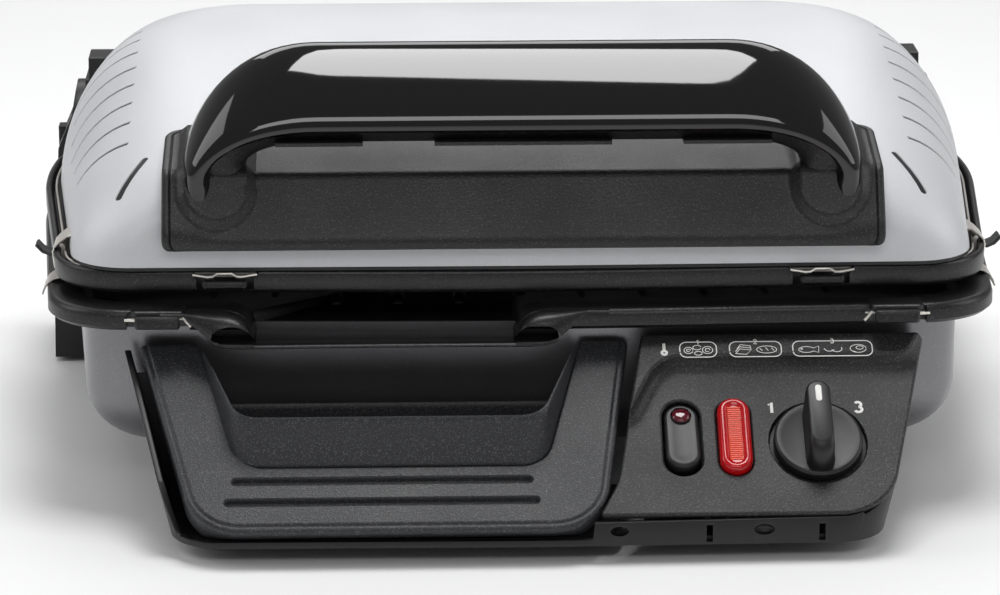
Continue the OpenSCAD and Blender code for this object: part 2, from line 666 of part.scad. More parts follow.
latch_x = 186.1;                                // inner face of a latch beside the rims
latch_pin = [178.4, lid_z];                     // a latch's pivot, in the channel behind the upper rim's lip
latch_t = 0.9;
module latch(side) color("#d9d6cc") mirror([side < 0 ? 1 : 0, 0, 0]) translate([0, latch_y, 0]) {
    difference() {
        union() {
            translate([latch_pin[0], -4, latch_pin[1]]) rotate([-90, 0, 0]) cylinder(r = 1.5, h = 8);
            translate([latch_pin[0], -4, lid_z + 0.6]) cube([latch_x + latch_t - latch_pin[0], 8, latch_t]);
            translate([latch_x, -4, 78]) cube([latch_t, 8, lid_z + 0.6 + latch_t - 78]);
        }
        translate([latch_pin[0], -5, latch_pin[1]]) rotate([-90, 0, 0]) cylinder(r = 0.85, h = 10);
    }
    translate([latch_x, -5.5, 75]) cube([latch_t, 11, 6]);
    translate([latch_x + latch_t, -3, 90.5]) cube([5, 5, latch_t]);
}
module latch_left() latch(-1);
module latch_right() latch(1);
// Pins for the latches, each held by two lugs that stand in the upper rim's channel
module latch_pins() color(steel) both() translate([latch_pin[0], latch_y, 0]) {
    translate([0, -6.5, latch_pin[1]]) rotate([-90, 0, 0]) cylinder(r = 0.8, h = 13);
    for (s = [-1, 1]) translate([-1.3, s * 5.4 - 0.8, upper_top - 5]) cube([1.6, 1.6, lid_z - upper_top + 5]);
}

base_pan();
console();
console_bottom();
control_panel();
rear_beam();
hinge_post_left();
hinge_post_right();
front_feet();
rear_feet();
lower_plate();
lower_reflector();
lower_heater();
lower_heater_clips();
thermostat();
knob_shaft();
knob();
switch_body();
rocker_button();
rocker_jewel();
pilot_lens();
lamp_holder();
terminal_block();
cord_gland();
base_screws();
drip_tray();
lower_release_left();
lower_release_right();
lower_release_springs();
hinge_rod();
hinge_sliders();
lid_shell();
upper_frame();
upper_plate();
upper_reflector();
upper_heater();
upper_heater_clips();
hinge_arm_left();
hinge_arm_right();
handle_base();
handle_cover();
handle_insert();
handle_screws();
upper_release_left();
upper_release_right();
upper_release_springs();
latch_left();
latch_right();
latch_pins();
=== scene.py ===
"""Looks of an electric indoor grill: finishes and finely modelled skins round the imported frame.

Sizes below are millimetres, and solid() turns them into metres. Only the floor, the lights and the
camera's reach are given in metres. X is across the front, Y points to the back and Z is up.
"""

import math

import bmesh
import bpy
import numpy as np
from mathutils import Matrix, Vector
from mathutils.bvhtree import BVHTree
from mathutils.geometry import delaunay_2d_cdt
from mathutils.interpolate import poly_3d_calc


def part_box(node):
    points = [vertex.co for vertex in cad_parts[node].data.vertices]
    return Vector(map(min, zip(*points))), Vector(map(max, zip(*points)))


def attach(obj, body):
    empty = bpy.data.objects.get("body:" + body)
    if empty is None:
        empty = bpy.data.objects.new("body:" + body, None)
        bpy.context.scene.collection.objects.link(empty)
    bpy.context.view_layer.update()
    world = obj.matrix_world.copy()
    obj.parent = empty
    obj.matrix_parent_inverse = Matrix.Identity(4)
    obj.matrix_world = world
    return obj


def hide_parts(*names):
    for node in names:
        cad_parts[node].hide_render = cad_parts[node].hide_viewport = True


MM = 0.001
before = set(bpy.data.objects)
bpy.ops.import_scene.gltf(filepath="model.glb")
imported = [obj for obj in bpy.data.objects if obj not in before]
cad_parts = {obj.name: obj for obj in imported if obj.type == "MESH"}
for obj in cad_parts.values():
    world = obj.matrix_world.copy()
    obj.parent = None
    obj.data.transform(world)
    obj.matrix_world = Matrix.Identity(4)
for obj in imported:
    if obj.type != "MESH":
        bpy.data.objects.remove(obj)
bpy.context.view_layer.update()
scene = bpy.context.scene


def low(node):
    """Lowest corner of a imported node's box."""
    return np.array(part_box(node)[0]) / MM


# ---- outlines ----

def unit(v):
    v = np.asarray(v, float)
    return v / np.linalg.norm(v)


def smooth(t):
    """0 to 1 with level ends."""
    t = np.clip(t, 0, 1)
    return t * t * (3 - 2 * t)


def rounded(corners, step=5.0):
    """Closed outline through corners (x, y, radius), its arcs cut every step degrees."""
    points = []
    for i, (x, y, r) in enumerate(corners):
        b = np.array((x, y), float)
        if r <= 0:
            points.append(b)
            continue
        u = unit(np.array(corners[i - 1][:2]) - b)
        w = unit(np.array(corners[(i + 1) % len(corners)][:2]) - b)
        half = math.acos(np.clip(u @ w, -1, 1)) / 2
        mid = b + unit(u + w) * r / math.sin(half)
        p = b + u * r / math.tan(half) - mid
        q = b + w * r / math.tan(half) - mid
        start = math.atan2(p[1], p[0])
        turn = (math.atan2(q[1], q[0]) - start + 3 * math.pi) % (2 * math.pi) - math.pi
        n = max(2, math.ceil(abs(turn) / math.radians(step)))
        for k in range(n + 1):
            a = start + turn * k / n
            points.append(mid + r * np.array((math.cos(a), math.sin(a))))
    return np.array(points)


def both_sides(front, half, step=5.0):
    """Left-right symmetric outline from its right half, front middle first."""
    return rounded([front, *half, *[(-x, y, r) for x, y, r in reversed(half)]], step)


def run_along(path):
    """Distance travelled along a path at each of its points."""
    return np.r_[0, np.cumsum(np.linalg.norm(np.diff(path, axis=0), axis=1))]


def evenly(loop, n):
    """n points spread evenly round a closed outline."""
    closed = np.vstack([loop, loop[:1]])
    run = run_along(closed)
    at = np.arange(n) / n * run[-1]
    return np.column_stack([np.interp(at, run, closed[:, k]) for k in (0, 1)])


def shrink(loop, d):
    """Moves an outline inwards by d, or outwards where d is negative."""
    x, y = loop.T
    way = 1 if (x * np.roll(y, -1) - y * np.roll(x, -1)).sum() > 0 else -1
    ahead = np.roll(loop, -1, 0) - np.roll(loop, 1, 0)
    ahead /= np.linalg.norm(ahead, axis=1)[:, None]
    return loop + way * d * np.column_stack([-ahead[:, 1], ahead[:, 0]])


def oblong(x0, x1, y0, y1, low_r, high_r, step):
    """Rectangle with one radius at its lower corners and one at its upper corners."""
    return rounded([(x0, y0, low_r), (x1, y0, low_r), (x1, y1, high_r), (x0, y1, high_r)], step)


def pill(length, width, at=(0, 0), along=(1, 0), step=8.0):
    """Outline of a slot with round ends, its length along a direction."""
    run, r = (length - width) / 2, width / 2
    u = unit(along)
    w = np.array((-u[1], u[0]))
    a = np.radians(np.arange(-90, 90 + step, step))
    arc = np.column_stack([run + r * np.cos(a), r * np.sin(a)])
    flat = np.vstack([arc, -arc])
    return np.array(at) + flat[:, :1] * u + flat[:, 1:] * w


def circle(r, at=(0, 0), n=48):
    a = np.arange(n) * 2 * math.pi / n
    return np.array(at) + r * np.column_stack([np.cos(a), np.sin(a)])


def arc(x, y, rx, ry, a0, a1, n=14):
    """Part of an ellipse between two angles in degrees."""
    a = np.radians(np.linspace(a0, a1, n))
    return np.column_stack([x + rx * np.cos(a), y + ry * np.sin(a)])


def level(loop, z):
    """The outline as 3-D points at height z, a number or one per point."""
    return np.column_stack([loop, np.broadcast_to(z, len(loop))])


# ---- meshes ----

def loft(rings, closed=False):
    """Skin over rings of points, closed by caps, or into a loop where closed."""
    n, k = len(rings[0]), len(rings)
    faces = []
    for i in range(k if closed else k - 1):
        for j in range(n):
            a, b = i * n, (i + 1) % k * n
            faces.append((a + j, a + (j + 1) % n, b + (j + 1) % n, b + j))
    if not closed:
        faces.append(tuple(range(n))[::-1])
        faces.append(tuple(range((k - 1) * n, k * n)))
    return np.vstack(rings), faces


def joined(*parts):
    """Several parts as one."""
    verts, faces, start = [], [], 0
    for v, f in parts:
        verts.append(np.asarray(v, float))
        faces += [tuple(i + start for i in face) for face in f]
        start += len(v)
    return np.vstack(verts), faces


def spaced(loop, gap):
    """Points of a closed outline whose spacing is gap(points)."""
    fine = evenly(loop, 8000)
    closed = np.vstack([fine, fine[:1]])
    run = np.r_[0, np.cumsum(np.linalg.norm(np.diff(closed, axis=0), axis=1) / gap(fine))]
    at = np.arange(math.ceil(run[-1])) * run[-1] / math.ceil(run[-1])
    return np.column_stack([np.interp(at, run, closed[:, k]) for k in (0, 1)])


def wall(path, thick, low, top, r=0.5):
    """Upright wall along a plan path, its top at top(points) and its upper edges rounded."""
    ahead = np.gradient(path, axis=0)
    ahead /= np.linalg.norm(ahead, axis=1)[:, None]
    side = np.column_stack([-ahead[:, 1], ahead[:, 0]])
    z = np.broadcast_to(top(path), len(path))
    section = [(0, None, 0), (0, 1, -r), (0.3 * r, 1, -0.3 * r), (r, 1, 0), (thick - r, 1, 0),
               (thick - 0.3 * r, 1, -0.3 * r), (thick, 1, -r), (thick, None, 0)]
    rings = []
    for p, s, h in zip(path, side, z):
        rings.append(np.array([[*(p + s * a), low if b is None else h + c] for a, b, c in section]))
    return loft(rings)


def spun(profile, n=96, at=(0, 0), closed=False):
    """Turned part from a profile of (radius, height)."""
    return loft([level(circle(r, at, n), z) for r, z in profile], closed)


def pill_stack(length, width, steps):
    """Upright pill-shaped part from steps of (inset, height)."""
    return loft([level(pill(length - 2 * d, width - 2 * d, (0, 0), (0, 1), 6), z) for d, z in steps])


def moved(part, place):
    """The part with each point sent through place(point)."""
    return np.array([place(p) for p in part[0]]), part[1]


def distance(points, loops):
    """Distance of each point to the nearest outline."""
    best = np.full(len(points), 1e9)
    for loop in loops:
        a, b = loop, np.roll(loop, -1, 0)
        d = b - a
        size = (d * d).sum(1) + 1e-12
        for chunk in np.array_split(np.arange(len(points)), 1 + len(points) // 4000):
            p = points[chunk][:, None] - a[None]
            t = np.clip((p * d).sum(2) / size, 0, 1)
            gap = np.linalg.norm(p - t[..., None] * d, axis=2).min(1)
            best[chunk] = np.minimum(best[chunk], gap)
    return best


def inside(points, loops):
    """Whether each point lies in the outer outline and in no hole."""
    odd = np.zeros(len(points), bool)
    for loop in loops:
        a, b = loop, np.roll(loop, -1, 0)
        for i in range(len(a)):
            crosses = (a[i, 1] > points[:, 1]) != (b[i, 1] > points[:, 1])
            if crosses.any():
                at = a[i, 0] + (points[:, 1] - a[i, 1]) * (b[i, 0] - a[i, 0]) / (b[i, 1] - a[i, 1] + 1e-12)
                odd ^= crosses & (points[:, 0] < at)
    return odd


def depth_in(points, loop):
    """Distance to one outline, negative outside it."""
    return distance(points, [loop]) * np.where(inside(points, [loop]), 1, -1)


def filled(loop, gap=1.8):
    """The outline with more points along its straight stretches."""
    out = []
    for a, b in zip(loop, np.roll(loop, -1, 0)):
        n = max(1, int(np.linalg.norm(b - a) / gap))
        out += [a + (b - a) * k / n for k in range(n)]
    return np.array(out)


def relief(outer, holes, height, base, step, edge=(0.15, 0.45, 0.9, 1.5), extra=()):
    """Closed solid over a flat outline with holes. height and base are functions of the points and
    of their distance to the edge, and extra holds more points where the height changes fast."""
    loops = [filled(loop) for loop in (outer, *holes)]
    points, lines = [], []
    for loop in loops:
        lines += [(len(points) + i, len(points) + (i + 1) % len(loop)) for i in range(len(loop))]
        points += list(loop)
    rows = [shrink(loop, -d if k else d) for k, loop in enumerate(loops) for d in edge]
    near = np.vstack([*rows, *extra])
    near = near[inside(near, loops) & (distance(near, loops) > edge[0] * 0.8)]
    lo, hi = outer.min(0), outer.max(0)
    x, y = np.meshgrid(np.arange(lo[0], hi[0], step), np.arange(lo[1], hi[1], step))
    grid = np.column_stack([x.ravel(), y.ravel()])
    grid = grid[inside(grid, loops)]
    grid = grid[distance(grid, loops) > edge[-1] + step * 0.4]
    flat = [Vector(p) for p in np.vstack([points, near, grid])]
    made = delaunay_2d_cdt(flat, lines, [], 0, 1e-6)
    verts, tris = np.array(made[0]), np.array(made[2])
    tris = tris[inside(verts[tris].mean(1), loops)]
    used, tris = np.unique(tris, return_inverse=True)
    verts, tris = verts[used], tris.reshape(-1, 3)
    n, d = len(verts), distance(verts, loops)
    top = np.column_stack([verts, height(verts, d)])
    bottom = np.column_stack([verts, np.broadcast_to(base(verts, d), n)])
    faces = [tuple(t) for t in tris] + [tuple(t[::-1] + n) for t in tris]
    edges = {(t[i], t[(i + 1) % 3]) for t in tris for i in range(3)}
    faces += [(b, a, a + n, b + n) for a, b in edges if (b, a) not in edges]
    return np.vstack([top, bottom]), faces


def round_edge(d, r):
    """How far a rounded edge of radius r falls at distance d from the edge."""
    t = np.clip(1 - d / r, 0, 1)
    return r * (1 - np.sqrt(1 - t * t))


def tube(path, r, closed=False, n=8, flat=1.0):
    """Round or flattened bar of n sides along a 3-D path."""
    path = np.asarray(path, float)
    ahead = np.roll(path, -1, 0) - np.roll(path, 1, 0)
    if not closed:
        ahead[0], ahead[-1] = path[1] - path[0], path[-1] - path[-2]
    a = np.arange(n)[:, None] * 2 * math.pi / n
    rings = []
    for p, t in zip(path, ahead):
        t = unit(t)
        side = np.cross(t, (0, 0, 1))
        if np.linalg.norm(side) < 0.2:
            side = np.cross(t, (0, 1, 0))
        side = unit(side)
        rings.append(p + r * (np.cos(a) * side + flat * np.sin(a) * np.cross(side, t)))
    return loft(rings, closed)


LOOKS = {}
WELD, SLIVER = 0.002 * MM, 0.0001 * MM


def shade(mesh, angle):
    """Smooth faces with sharp edges above an angle."""
    mesh.shade_smooth()
    mesh.set_sharp_from_angle(angle=math.radians(angle))


def placed(name, data):
    """A new object in the scene."""
    obj = bpy.data.objects.new(name, data)
    scene.collection.objects.link(obj)
    return obj


def solid(name, part, weld=False):
    """An object from a part in millimetres, with its faces turned outwards."""
    verts, faces = part
    mesh = bpy.data.meshes.new(name)
    mesh.from_pydata((np.asarray(verts) * MM).tolist(), [], [tuple(int(i) for i in f) for f in faces])
    bm = bmesh.new()
    bm.from_mesh(mesh)
    if weld:
        bmesh.ops.remove_doubles(bm, verts=bm.verts, dist=WELD)
        bmesh.ops.dissolve_degenerate(bm, edges=bm.edges, dist=SLIVER)
    bmesh.ops.recalc_face_normals(bm, faces=bm.faces)
    bm.to_mesh(mesh)
    bm.free()
    return placed(name, mesh)


def make(name, part, body, look, replaces=(), angle=32):
    """A piece from points in millimetres, riding on a body, with its finish."""
    obj = solid(name, part, True)
    shade(obj.data, angle)
    obj.data.materials.append(LOOKS[look])
    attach(obj, body)
    if replaces:
        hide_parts(*replaces)
    return obj


def carve(obj, cutters, angle, keep="DIFFERENCE"):
    """Cuts parts, given in millimetres, out of a piece, or keeps only what lies in them."""
    tool = solid("cutter", joined(*cutters))
    cut = obj.modifiers.new("cut", "BOOLEAN")
    cut.object = tool
    cut.operation = keep
    cut.solver = "EXACT"
    mesh = bpy.data.meshes.new_from_object(obj.evaluated_get(bpy.context.evaluated_depsgraph_get()))
    obj.modifiers.clear()
    obj.data = mesh
    bpy.data.objects.remove(tool)
    shade(mesh, angle)


# ---- finishes ----

# roughness of a clear coat, and sizes of the broad mottle and of brushed streaks
COAT_ROUGH, CLOUD, BRUSH_LONG, BRUSH_FINE = 0.06, 38.0, 14, 0.25


def finish(name, colour, rough, metal=0.0, grain=(0.45, 0.02), fleck=None, mottle=0.08, coat=0.0, brush=0.0):
    """Procedural finish. grain is (size, height) in mm, fleck is (colour, size, share) of fine specks,
    mottle is how far the colour strays, and brush is the share of the height in brushed streaks."""
    material = bpy.data.materials.new(name)
    material.use_nodes = True
    tree = material.node_tree
    tree.nodes.clear()

    def node(kind, sockets=(), out=0, **settings):
        made = tree.nodes.new("ShaderNode" + kind)
        for key, value in settings.items():
            setattr(made, key, value)
        for key, value in dict(sockets).items():
            if isinstance(value, bpy.types.NodeSocket):
                tree.links.new(value, made.inputs[key])
            else:
                made.inputs[key].default_value = value
        return made.outputs[out]

    def noise(size, detail=2.0, stretch=(1, 1, 1)):
        scaled = node("VectorMath", {0: place, 1: [s / size for s in stretch]}, operation="MULTIPLY")
        return node("TexNoise", {"Vector": scaled, "Scale": 1.0, "Detail": detail})

    def ranged(value, low_in, high_in, low_out, high_out):
        return node("MapRange", {0: value, 1: low_in, 2: high_in, 3: low_out, 4: high_out})

    def blend(a, b, share):
        return node("Mix", {0: share, 6: a, 7: b}, out=2, data_type="RGBA")

    place = node("VectorMath", {0: node("TexCoord", out=3), 1: (1 / MM,) * 3}, operation="MULTIPLY")
    broad = noise(CLOUD, 3.0)
    fine = noise(grain[0])
    tone = [(*[c * k for c in colour], 1) for k in (1 - mottle, 1 + mottle)]
    base = blend(tone[0], tone[1], ranged(broad, 0.3, 0.7, 0, 1))
    dark = (*[c * (1 - 2 * mottle) for c in colour], 1)
    base = blend(base, dark, ranged(fine, 0.5, 0.75, 0, 0.8))
    if fleck:
        speck = noise(fleck[1], 1.0)
        base = blend(base, (*fleck[0], 1), ranged(speck, 1 - fleck[2], 1.04 - fleck[2], 0, 1))
    height = fine
    if brush:
        streaks = noise(1.0, 3.0, (1 / BRUSH_LONG, 1 / BRUSH_FINE, 1 / BRUSH_FINE))
        height = node("Math", {0: streaks, 1: brush}, operation="MULTIPLY")
    bump = node("Bump", {"Height": height, "Distance": grain[1] * MM, "Strength": 1.0})
    spread = ranged(broad, 0.3, 0.7, max(0.02, rough * 0.9), min(1, rough * 1.1))
    surface = node("BsdfPrincipled", {"Base Color": base, "Metallic": metal, "Roughness": spread,
                                      "Normal": bump, "Coat Weight": coat, "Coat Roughness": COAT_ROUGH})
    tree.links.new(surface, tree.nodes.new("ShaderNodeOutputMaterial").inputs["Surface"])
    LOOKS[name] = material


GREY_FLECK = (0.045, 0.045, 0.048)
finish("lid_silver", (0.62, 0.63, 0.65), 0.5, 0.22, (0.35, 0.012), ((0.7, 0.7, 0.72), 0.4, 0.36), 0.015)
finish("nonstick", (0.006, 0.006, 0.007), 0.36, 0, (0.8, 0.09), (GREY_FLECK, 0.6, 0.36))
finish("pan_grey", (0.2, 0.2, 0.21), 0.34, 0.85, (0.6, 0.012), ((0.26, 0.26, 0.27), 0.5, 0.34))
finish("black_textured", (0.006, 0.006, 0.0066), 0.42, 0, (0.8, 0.12), (GREY_FLECK, 0.6, 0.38))
finish("black_smooth", (0.006, 0.006, 0.007), 0.42, 0, (0.6, 0.02))
finish("black_matte", (0.008, 0.008, 0.009), 0.5, 0, (0.7, 0.12), ((0.06, 0.06, 0.063), 0.55, 0.4))
finish("black_gloss", (0.0015, 0.0015, 0.0017), 0.05, 0, (3.0, 0.003), None, 0.02, 0.4)
finish("tray_grey", (0.017, 0.018, 0.021), 0.46, 0, (0.7, 0.12), ((0.085, 0.085, 0.09), 0.5, 0.4))
finish("bright_steel", (0.72, 0.72, 0.73), 0.22, 1.0, (0.4, 0.004), None, 0.03, 0, 0.6)
finish("spring_steel", (0.82, 0.79, 0.73), 0.34, 0.75, (0.5, 0.006), None, 0.05, 0, 0.4)
finish("sheath", (0.17, 0.155, 0.145), 0.5, 0.8, (0.5, 0.02), ((0.3, 0.27, 0.24), 0.7, 0.34), 0.2)
finish("rubber_feet", (0.02, 0.02, 0.02), 0.8, 0, (0.4, 0.05))
finish("red_lens", (0.5, 0.003, 0.006), 0.16, 0, (2.0, 0.006), None, 0.12, 0.1)
finish("red_grid", (0.95, 0.09, 0.03), 0.45, 0, (0.8, 0.01), None, 0.1)
finish("jewel", (0.12, 0.003, 0.012), 0.1, 0, (1.0, 0.02), None, 0.2, 0.6)
finish("ivory", (0.92, 0.91, 0.88), 0.5, 0, (0.4, 0.01), None, 0.03)


# ---- measures shared by several pieces ----

LOWER_Z, LOWER_TOP = low("lower_plate")[2], 82.0
ROOF_Z, UPPER_TOP = 92, 95
LID_Z = low("lid_shell")[2]
TILT = math.radians(37)
PANEL = np.array((0, -160, 17.0))
LOWER_RIM, UPPER_RIM = (-104, 181), (-94, 178)
PLATE_MID = (0, 16)


def on_panel(p, at=(0, 0)):
    """A point of the tilted panel: across, up the slope, and out of it."""
    u, v, w = p[0] + at[0], p[1] + at[1], p[2]
    return PANEL + (u, v * math.cos(TILT) - w * math.sin(TILT), v * math.sin(TILT) + w * math.cos(TILT))


def set_in(part, at=(0, 0)):
    """The part set in the panel at a place across and up it."""
    return moved(part, lambda p: on_panel(p, at))


def slope_z(y):
    """Height of the panel plane over a plan position."""
    return PANEL[2] + (np.asarray(y) - PANEL[1]) * math.tan(TILT)


def rim_outline(rim, d=0):
    """Outline of a rim, given as (front y, corner x), moved inwards by d."""
    front, corner_x = rim
    return both_sides((0, front + d, 1500), [(corner_x - d, front + 6 + d, 31 - d * 0.6),
                      (194 - d, 60, 220 - 3 * d), (186.5 - d, 136 - d, 54 - d * 0.8)], 1.5)


def lid_outline(side, front, back):
    """Outline of the lid, moved inwards at its sides, front and back."""
    return both_sides((0, -92 + front, 1500), [(171.8 - side, -90 + front, 24),
                      (187.6 - side, 60 - 0.4 * back, 200 - 2 * side),
                      (180 - side, 128 - back, 46 - 0.3 * side)], 1.5)


# ---- lid ----

CROWN_Y, CROWN_Z, CROWN_FALL = 88, 159, 0.0011
LID_MID_Y = 20
LID_TURNS = [0, 3, 6, 10, 14, 19, 24, 29, 34, 39, 44, 49, 54, 59, 64, 69, 74, 79, 84, 87, 90]
# how far the lid's sides, front and back round in towards its top, and how far its sides lean
SIDE_ROUND, FRONT_ROUND, BACK_ROUND, LID_LEAN = 50, 14, 30, 3
SHEET = 1.4


def crown(y):
    """Height of the lid's top, which is bowed from front to back."""
    return CROWN_Z - CROWN_FALL * (np.asarray(y) - CROWN_Y) ** 2


def lid_ring(a, d):
    """The lid's outline at turn a of its rounded side, d below the surface."""
    k, lean = 1 - math.cos(a), LID_LEAN * math.sin(a)
    plan = evenly(lid_outline(SIDE_ROUND * k + lean + d, FRONT_ROUND * k + d, BACK_ROUND * k + d), 360)
    return level(plan, LID_Z + (crown(plan[:, 1]) - d - LID_Z) * math.sin(a))


def lid_cap(f, d):
    """Ring of the lid's top at share f of its size."""
    top = lid_ring(math.pi / 2, d)[:, :2]
    plan = (0, LID_MID_Y) + (top - (0, LID_MID_Y)) * f
    return level(plan, crown(plan[:, 1]) - d)


def lid_shell(outer, inner):
    """The lid's sheet between two depths below its surface."""
    sides = []
    for d in (inner, outer):
        rings = [lid_ring(a, d) for a in np.radians(LID_TURNS)]
        sides.append(rings + [lid_cap(f, d) for f in (0.96, 0.88, 0.75, 0.6, 0.45, 0.3, 0.15, 0.03)])
    return loft(sides[0][::-1] + sides[1])


BOX_FACES = [(0, 2, 3, 1), (4, 5, 7, 6), (0, 1, 5, 4), (2, 6, 7, 3), (0, 4, 6, 2), (1, 3, 7, 5)]


def slab(corner, size, turn=0.0, centre=True):
    """Upright box with its foot's middle, or its corner, at a point and turned about that point."""
    x, y, z = size
    start = np.array((-x / 2, -y / 2, 0)) if centre else np.zeros(3)
    c, s = math.cos(turn), math.sin(turn)
    verts = []
    for k in range(8):
        p = start + (x * (k & 1), y * (k >> 1 & 1), z * (k >> 2 & 1))
        verts.append((corner[0] + c * p[0] - s * p[1], corner[1] + s * p[0] + c * p[1], corner[2] + p[2]))
    return np.array(verts), BOX_FACES


def mirrored(part):
    """The part's twin on the other side."""
    return part[0] * (-1, 1, 1), [f[::-1] for f in part[1]]


SLOT_TURN, SLOT_PITCH = math.radians(28), 16.0
CORNER_SLOT = np.array((147.6, -66.0, 123.0))
CORNER_AXES = Matrix(((0.45, 0.55, 0.7), (-0.75, 0.65, -0.05), (-0.5, -0.5, 0.7)))
slots = [slab((153, y, 113.5), (30, 1.6, 44), SLOT_TURN, False) for y in np.arange(-41, 104, SLOT_PITCH)]
corner = loft([level(pill(24, 2.8), z) for z in (-8, 8)])
corner = moved(corner, lambda p: CORNER_SLOT + CORNER_AXES @ Vector(p))
slots += [*map(mirrored, slots), corner, mirrored(corner)]
lid = make("lid_shell_skin", lid_shell(0, SHEET), "lid", "lid_silver", ["lid_shell"], 60)
whole = lid.data.copy()
carve(lid, slots, 60)
# black sheet that fills the slots a little below the surface: painted shade seen through them
painted_slot_shade = make("lid_slot_painted_shade", lid_shell(0.3, 1.2), "lid", "black_smooth")
carve(painted_slot_shade, slots, 60, "INTERSECT")


def smooth_normals_from(obj, source, limit=0.9, inwards=0.02):
    """Gives cut faces the smooth shading that the uncut skin had. Faces that lean away from it by
    more than limit, a cosine, stay flat, and corners are read a little inwards of their face."""
    source.calc_loop_triangles()
    triangles = source.loop_triangles
    tree = BVHTree.FromPolygons([v.co for v in source.vertices], [t.vertices[:] for t in triangles])
    mesh, normals = obj.data, []
    for polygon in mesh.polygons:
        for k in polygon.vertices:
            spot, normal, face, gap = tree.find_nearest(mesh.vertices[k].co.lerp(polygon.center, inwards))
            if polygon.normal.dot(normal) < limit:
                normals.append(polygon.normal[:])
                continue
            near = triangles[face]
            weights = poly_3d_calc([source.vertices[v].co for v in near.vertices], spot)
            blend = sum((source.corner_normals[c].vector * w for c, w in zip(near.loops, weights)), Vector())
            normals.append(blend.normalized()[:])
    mesh.normals_split_custom_set(normals)


smooth_normals_from(lid, whole)

# ---- handle ----

BASE_SIDE = rounded([(-93, 103.6, 0), (-98.2, 105, 1.5), (-97.8, 109, 4), (-84.8, 131.6, 2.2),
                     (-49, 139.4, 0)], 8)
BASE_RUN = run_along(BASE_SIDE)
BASE_LEN = BASE_RUN[-1]
BASE_HALF, BASE_DEEP = 137.5, 5.0
LEG_X = 124


def base_side(run):
    """Point (y, z) of the base's side profile at a distance along it."""
    return np.array([np.interp(run, BASE_RUN, BASE_SIDE[:, k]) for k in (0, 1)])


def on_base(p):
    """A point of the handle base: across, along its side profile, and out of it."""
    at = base_side(p[1])
    t = unit(base_side(p[1] + 0.6) - base_side(p[1] - 0.6))
    return np.array((p[0], at[0] - t[1] * p[2], at[1] + t[0] * p[2]))


# swellings round the handle's legs: distance from the middle, radius, foot along the side, height
POD_X, POD_R, POD_V, POD_H = 116.8, 14.8, 13.0, 3.2
PODS = [pill(90, 2 * POD_R, (s * POD_X, POD_V + 45), (0, 1), 6) for s in (-1, 1)]
GROOVE_AT, GROOVE_H, END_X, END_H = 3.1, 0.55, 112, 1.8


def base_height(points, d):
    """The base's face: a groove along its edge, the swellings and ends that rise."""
    h = -round_edge(d, 1.4) - GROOVE_H * np.clip(1 - np.abs(d - GROOVE_AT) / 0.6, 0, 1)
    for pod in PODS:
        h += POD_H * smooth((depth_in(points, pod) + 0.8) / 4.5) * smooth((BASE_LEN - points[:, 1]) / 3)
    return h + END_H * smooth((np.abs(points[:, 0]) - END_X) / 20) * smooth((points[:, 1] - 6) / 8)


base_plan = oblong(-BASE_HALF, BASE_HALF, 0, BASE_LEN, 9, 7, 6)
pod_rows = [shrink(pod, k) for pod in PODS for k in (-1, 0, 1, 2, 3.5)]
base_skin = relief(base_plan, [], base_height, lambda p, d: -BASE_DEEP, 1.7,
                   (0.2, 0.6, 1.1, 1.8, 2.5, 2.8, 3.1, 3.4, 3.7), pod_rows)
make("handle_base_skin", moved(base_skin, on_base), "lid", "black_textured", ["handle_base"], 35)

# middle of the bar, size of its end turns, half width and lean with their fall in the legs, and the
# depths of the cover, of the insert and of its legs
HANDLE = np.array((0, -79.5, 163.6))
TURN = (46, 34)
GRIP, GRIP_FALL, LEAN, LEAN_FALL = 20.8, 3.8, 42, 36
THICK, INSERT_DEEP, LEG_DEEP = 6.5, 11.5, 20.8


def handle_ring(a, side, sense):
    """Section of the handle at turn a of one end. sense 1 is the glossy cover, -1 the insert.
    Powers below 1 make a section fuller than an ellipse."""
    k = 1 - math.cos(a)
    centre = np.array((side * (LEG_X - TURN[0] * (1 - math.sin(a) ** 0.93)), HANDLE[1] + 2 * k,
                       HANDLE[2] - TURN[1] * k))
    along = np.array((math.cos(a), 0, -side * math.sin(a)))
    lean = math.radians(LEAN - LEAN_FALL * k)
    across = np.array((0, math.cos(lean), math.sin(lean)))
    out = unit(np.cross(along, across))
    grip = GRIP - GRIP_FALL * k
    q = np.radians(np.arange(0, 181, 6))
    c, s = np.cos(q), np.sin(q)
    if sense > 0:
        c, s = np.r_[c, -c[1:-1]], np.r_[THICK * s ** 0.8, -(0.3 + 6.2 * k) * s[1:-1] ** 0.6]
    else:
        deep = INSERT_DEEP + (LEG_DEEP - INSERT_DEEP) * k ** 1.2
        c = np.sign(c) * np.abs(c) ** 0.55 * np.where(c > 0, 1, 1 - 0.45 * k) * 0.985
        c, s = np.r_[c, c[::-1]], np.r_[-deep * s ** 0.5, np.zeros(len(s)) - 0.1]
    return centre + (grip * c)[:, None] * across + s[:, None] * out


def narrowed(ring, side, share, fall):
    """A ring of a leg made narrower about the leg's middle and lowered."""
    ring = ring - (side * LEG_X, 0, fall)
    return ring * (share, 1, 1) + (side * LEG_X, 0, 0)


def handle_part(sense):
    """The glossy cover of the handle, sense 1, or the insert below it, -1."""
    turns = np.radians(np.arange(0, 91, 5))
    left = [handle_ring(a, -1, sense) for a in turns[::-1]]
    right = [handle_ring(a, 1, sense) for a in turns]
    straight = [left[-1] + (right[0] - left[-1]) * t for t in np.arange(1, 24) / 24]
    if sense > 0:
        tip = [(math.sqrt(1 - t * t), 9.3 * t) for t in (0.995, 0.95, 0.85, 0.7, 0.5, 0.25)]
    else:
        tip = [(1, 18), (1, 9)]
    ends = [[narrowed(ring, side, *k) for k in tip] for ring, side in ((left[0], -1), (right[-1], 1))]
    return loft([*ends[0], *left, *straight, *right, *ends[1][::-1]])


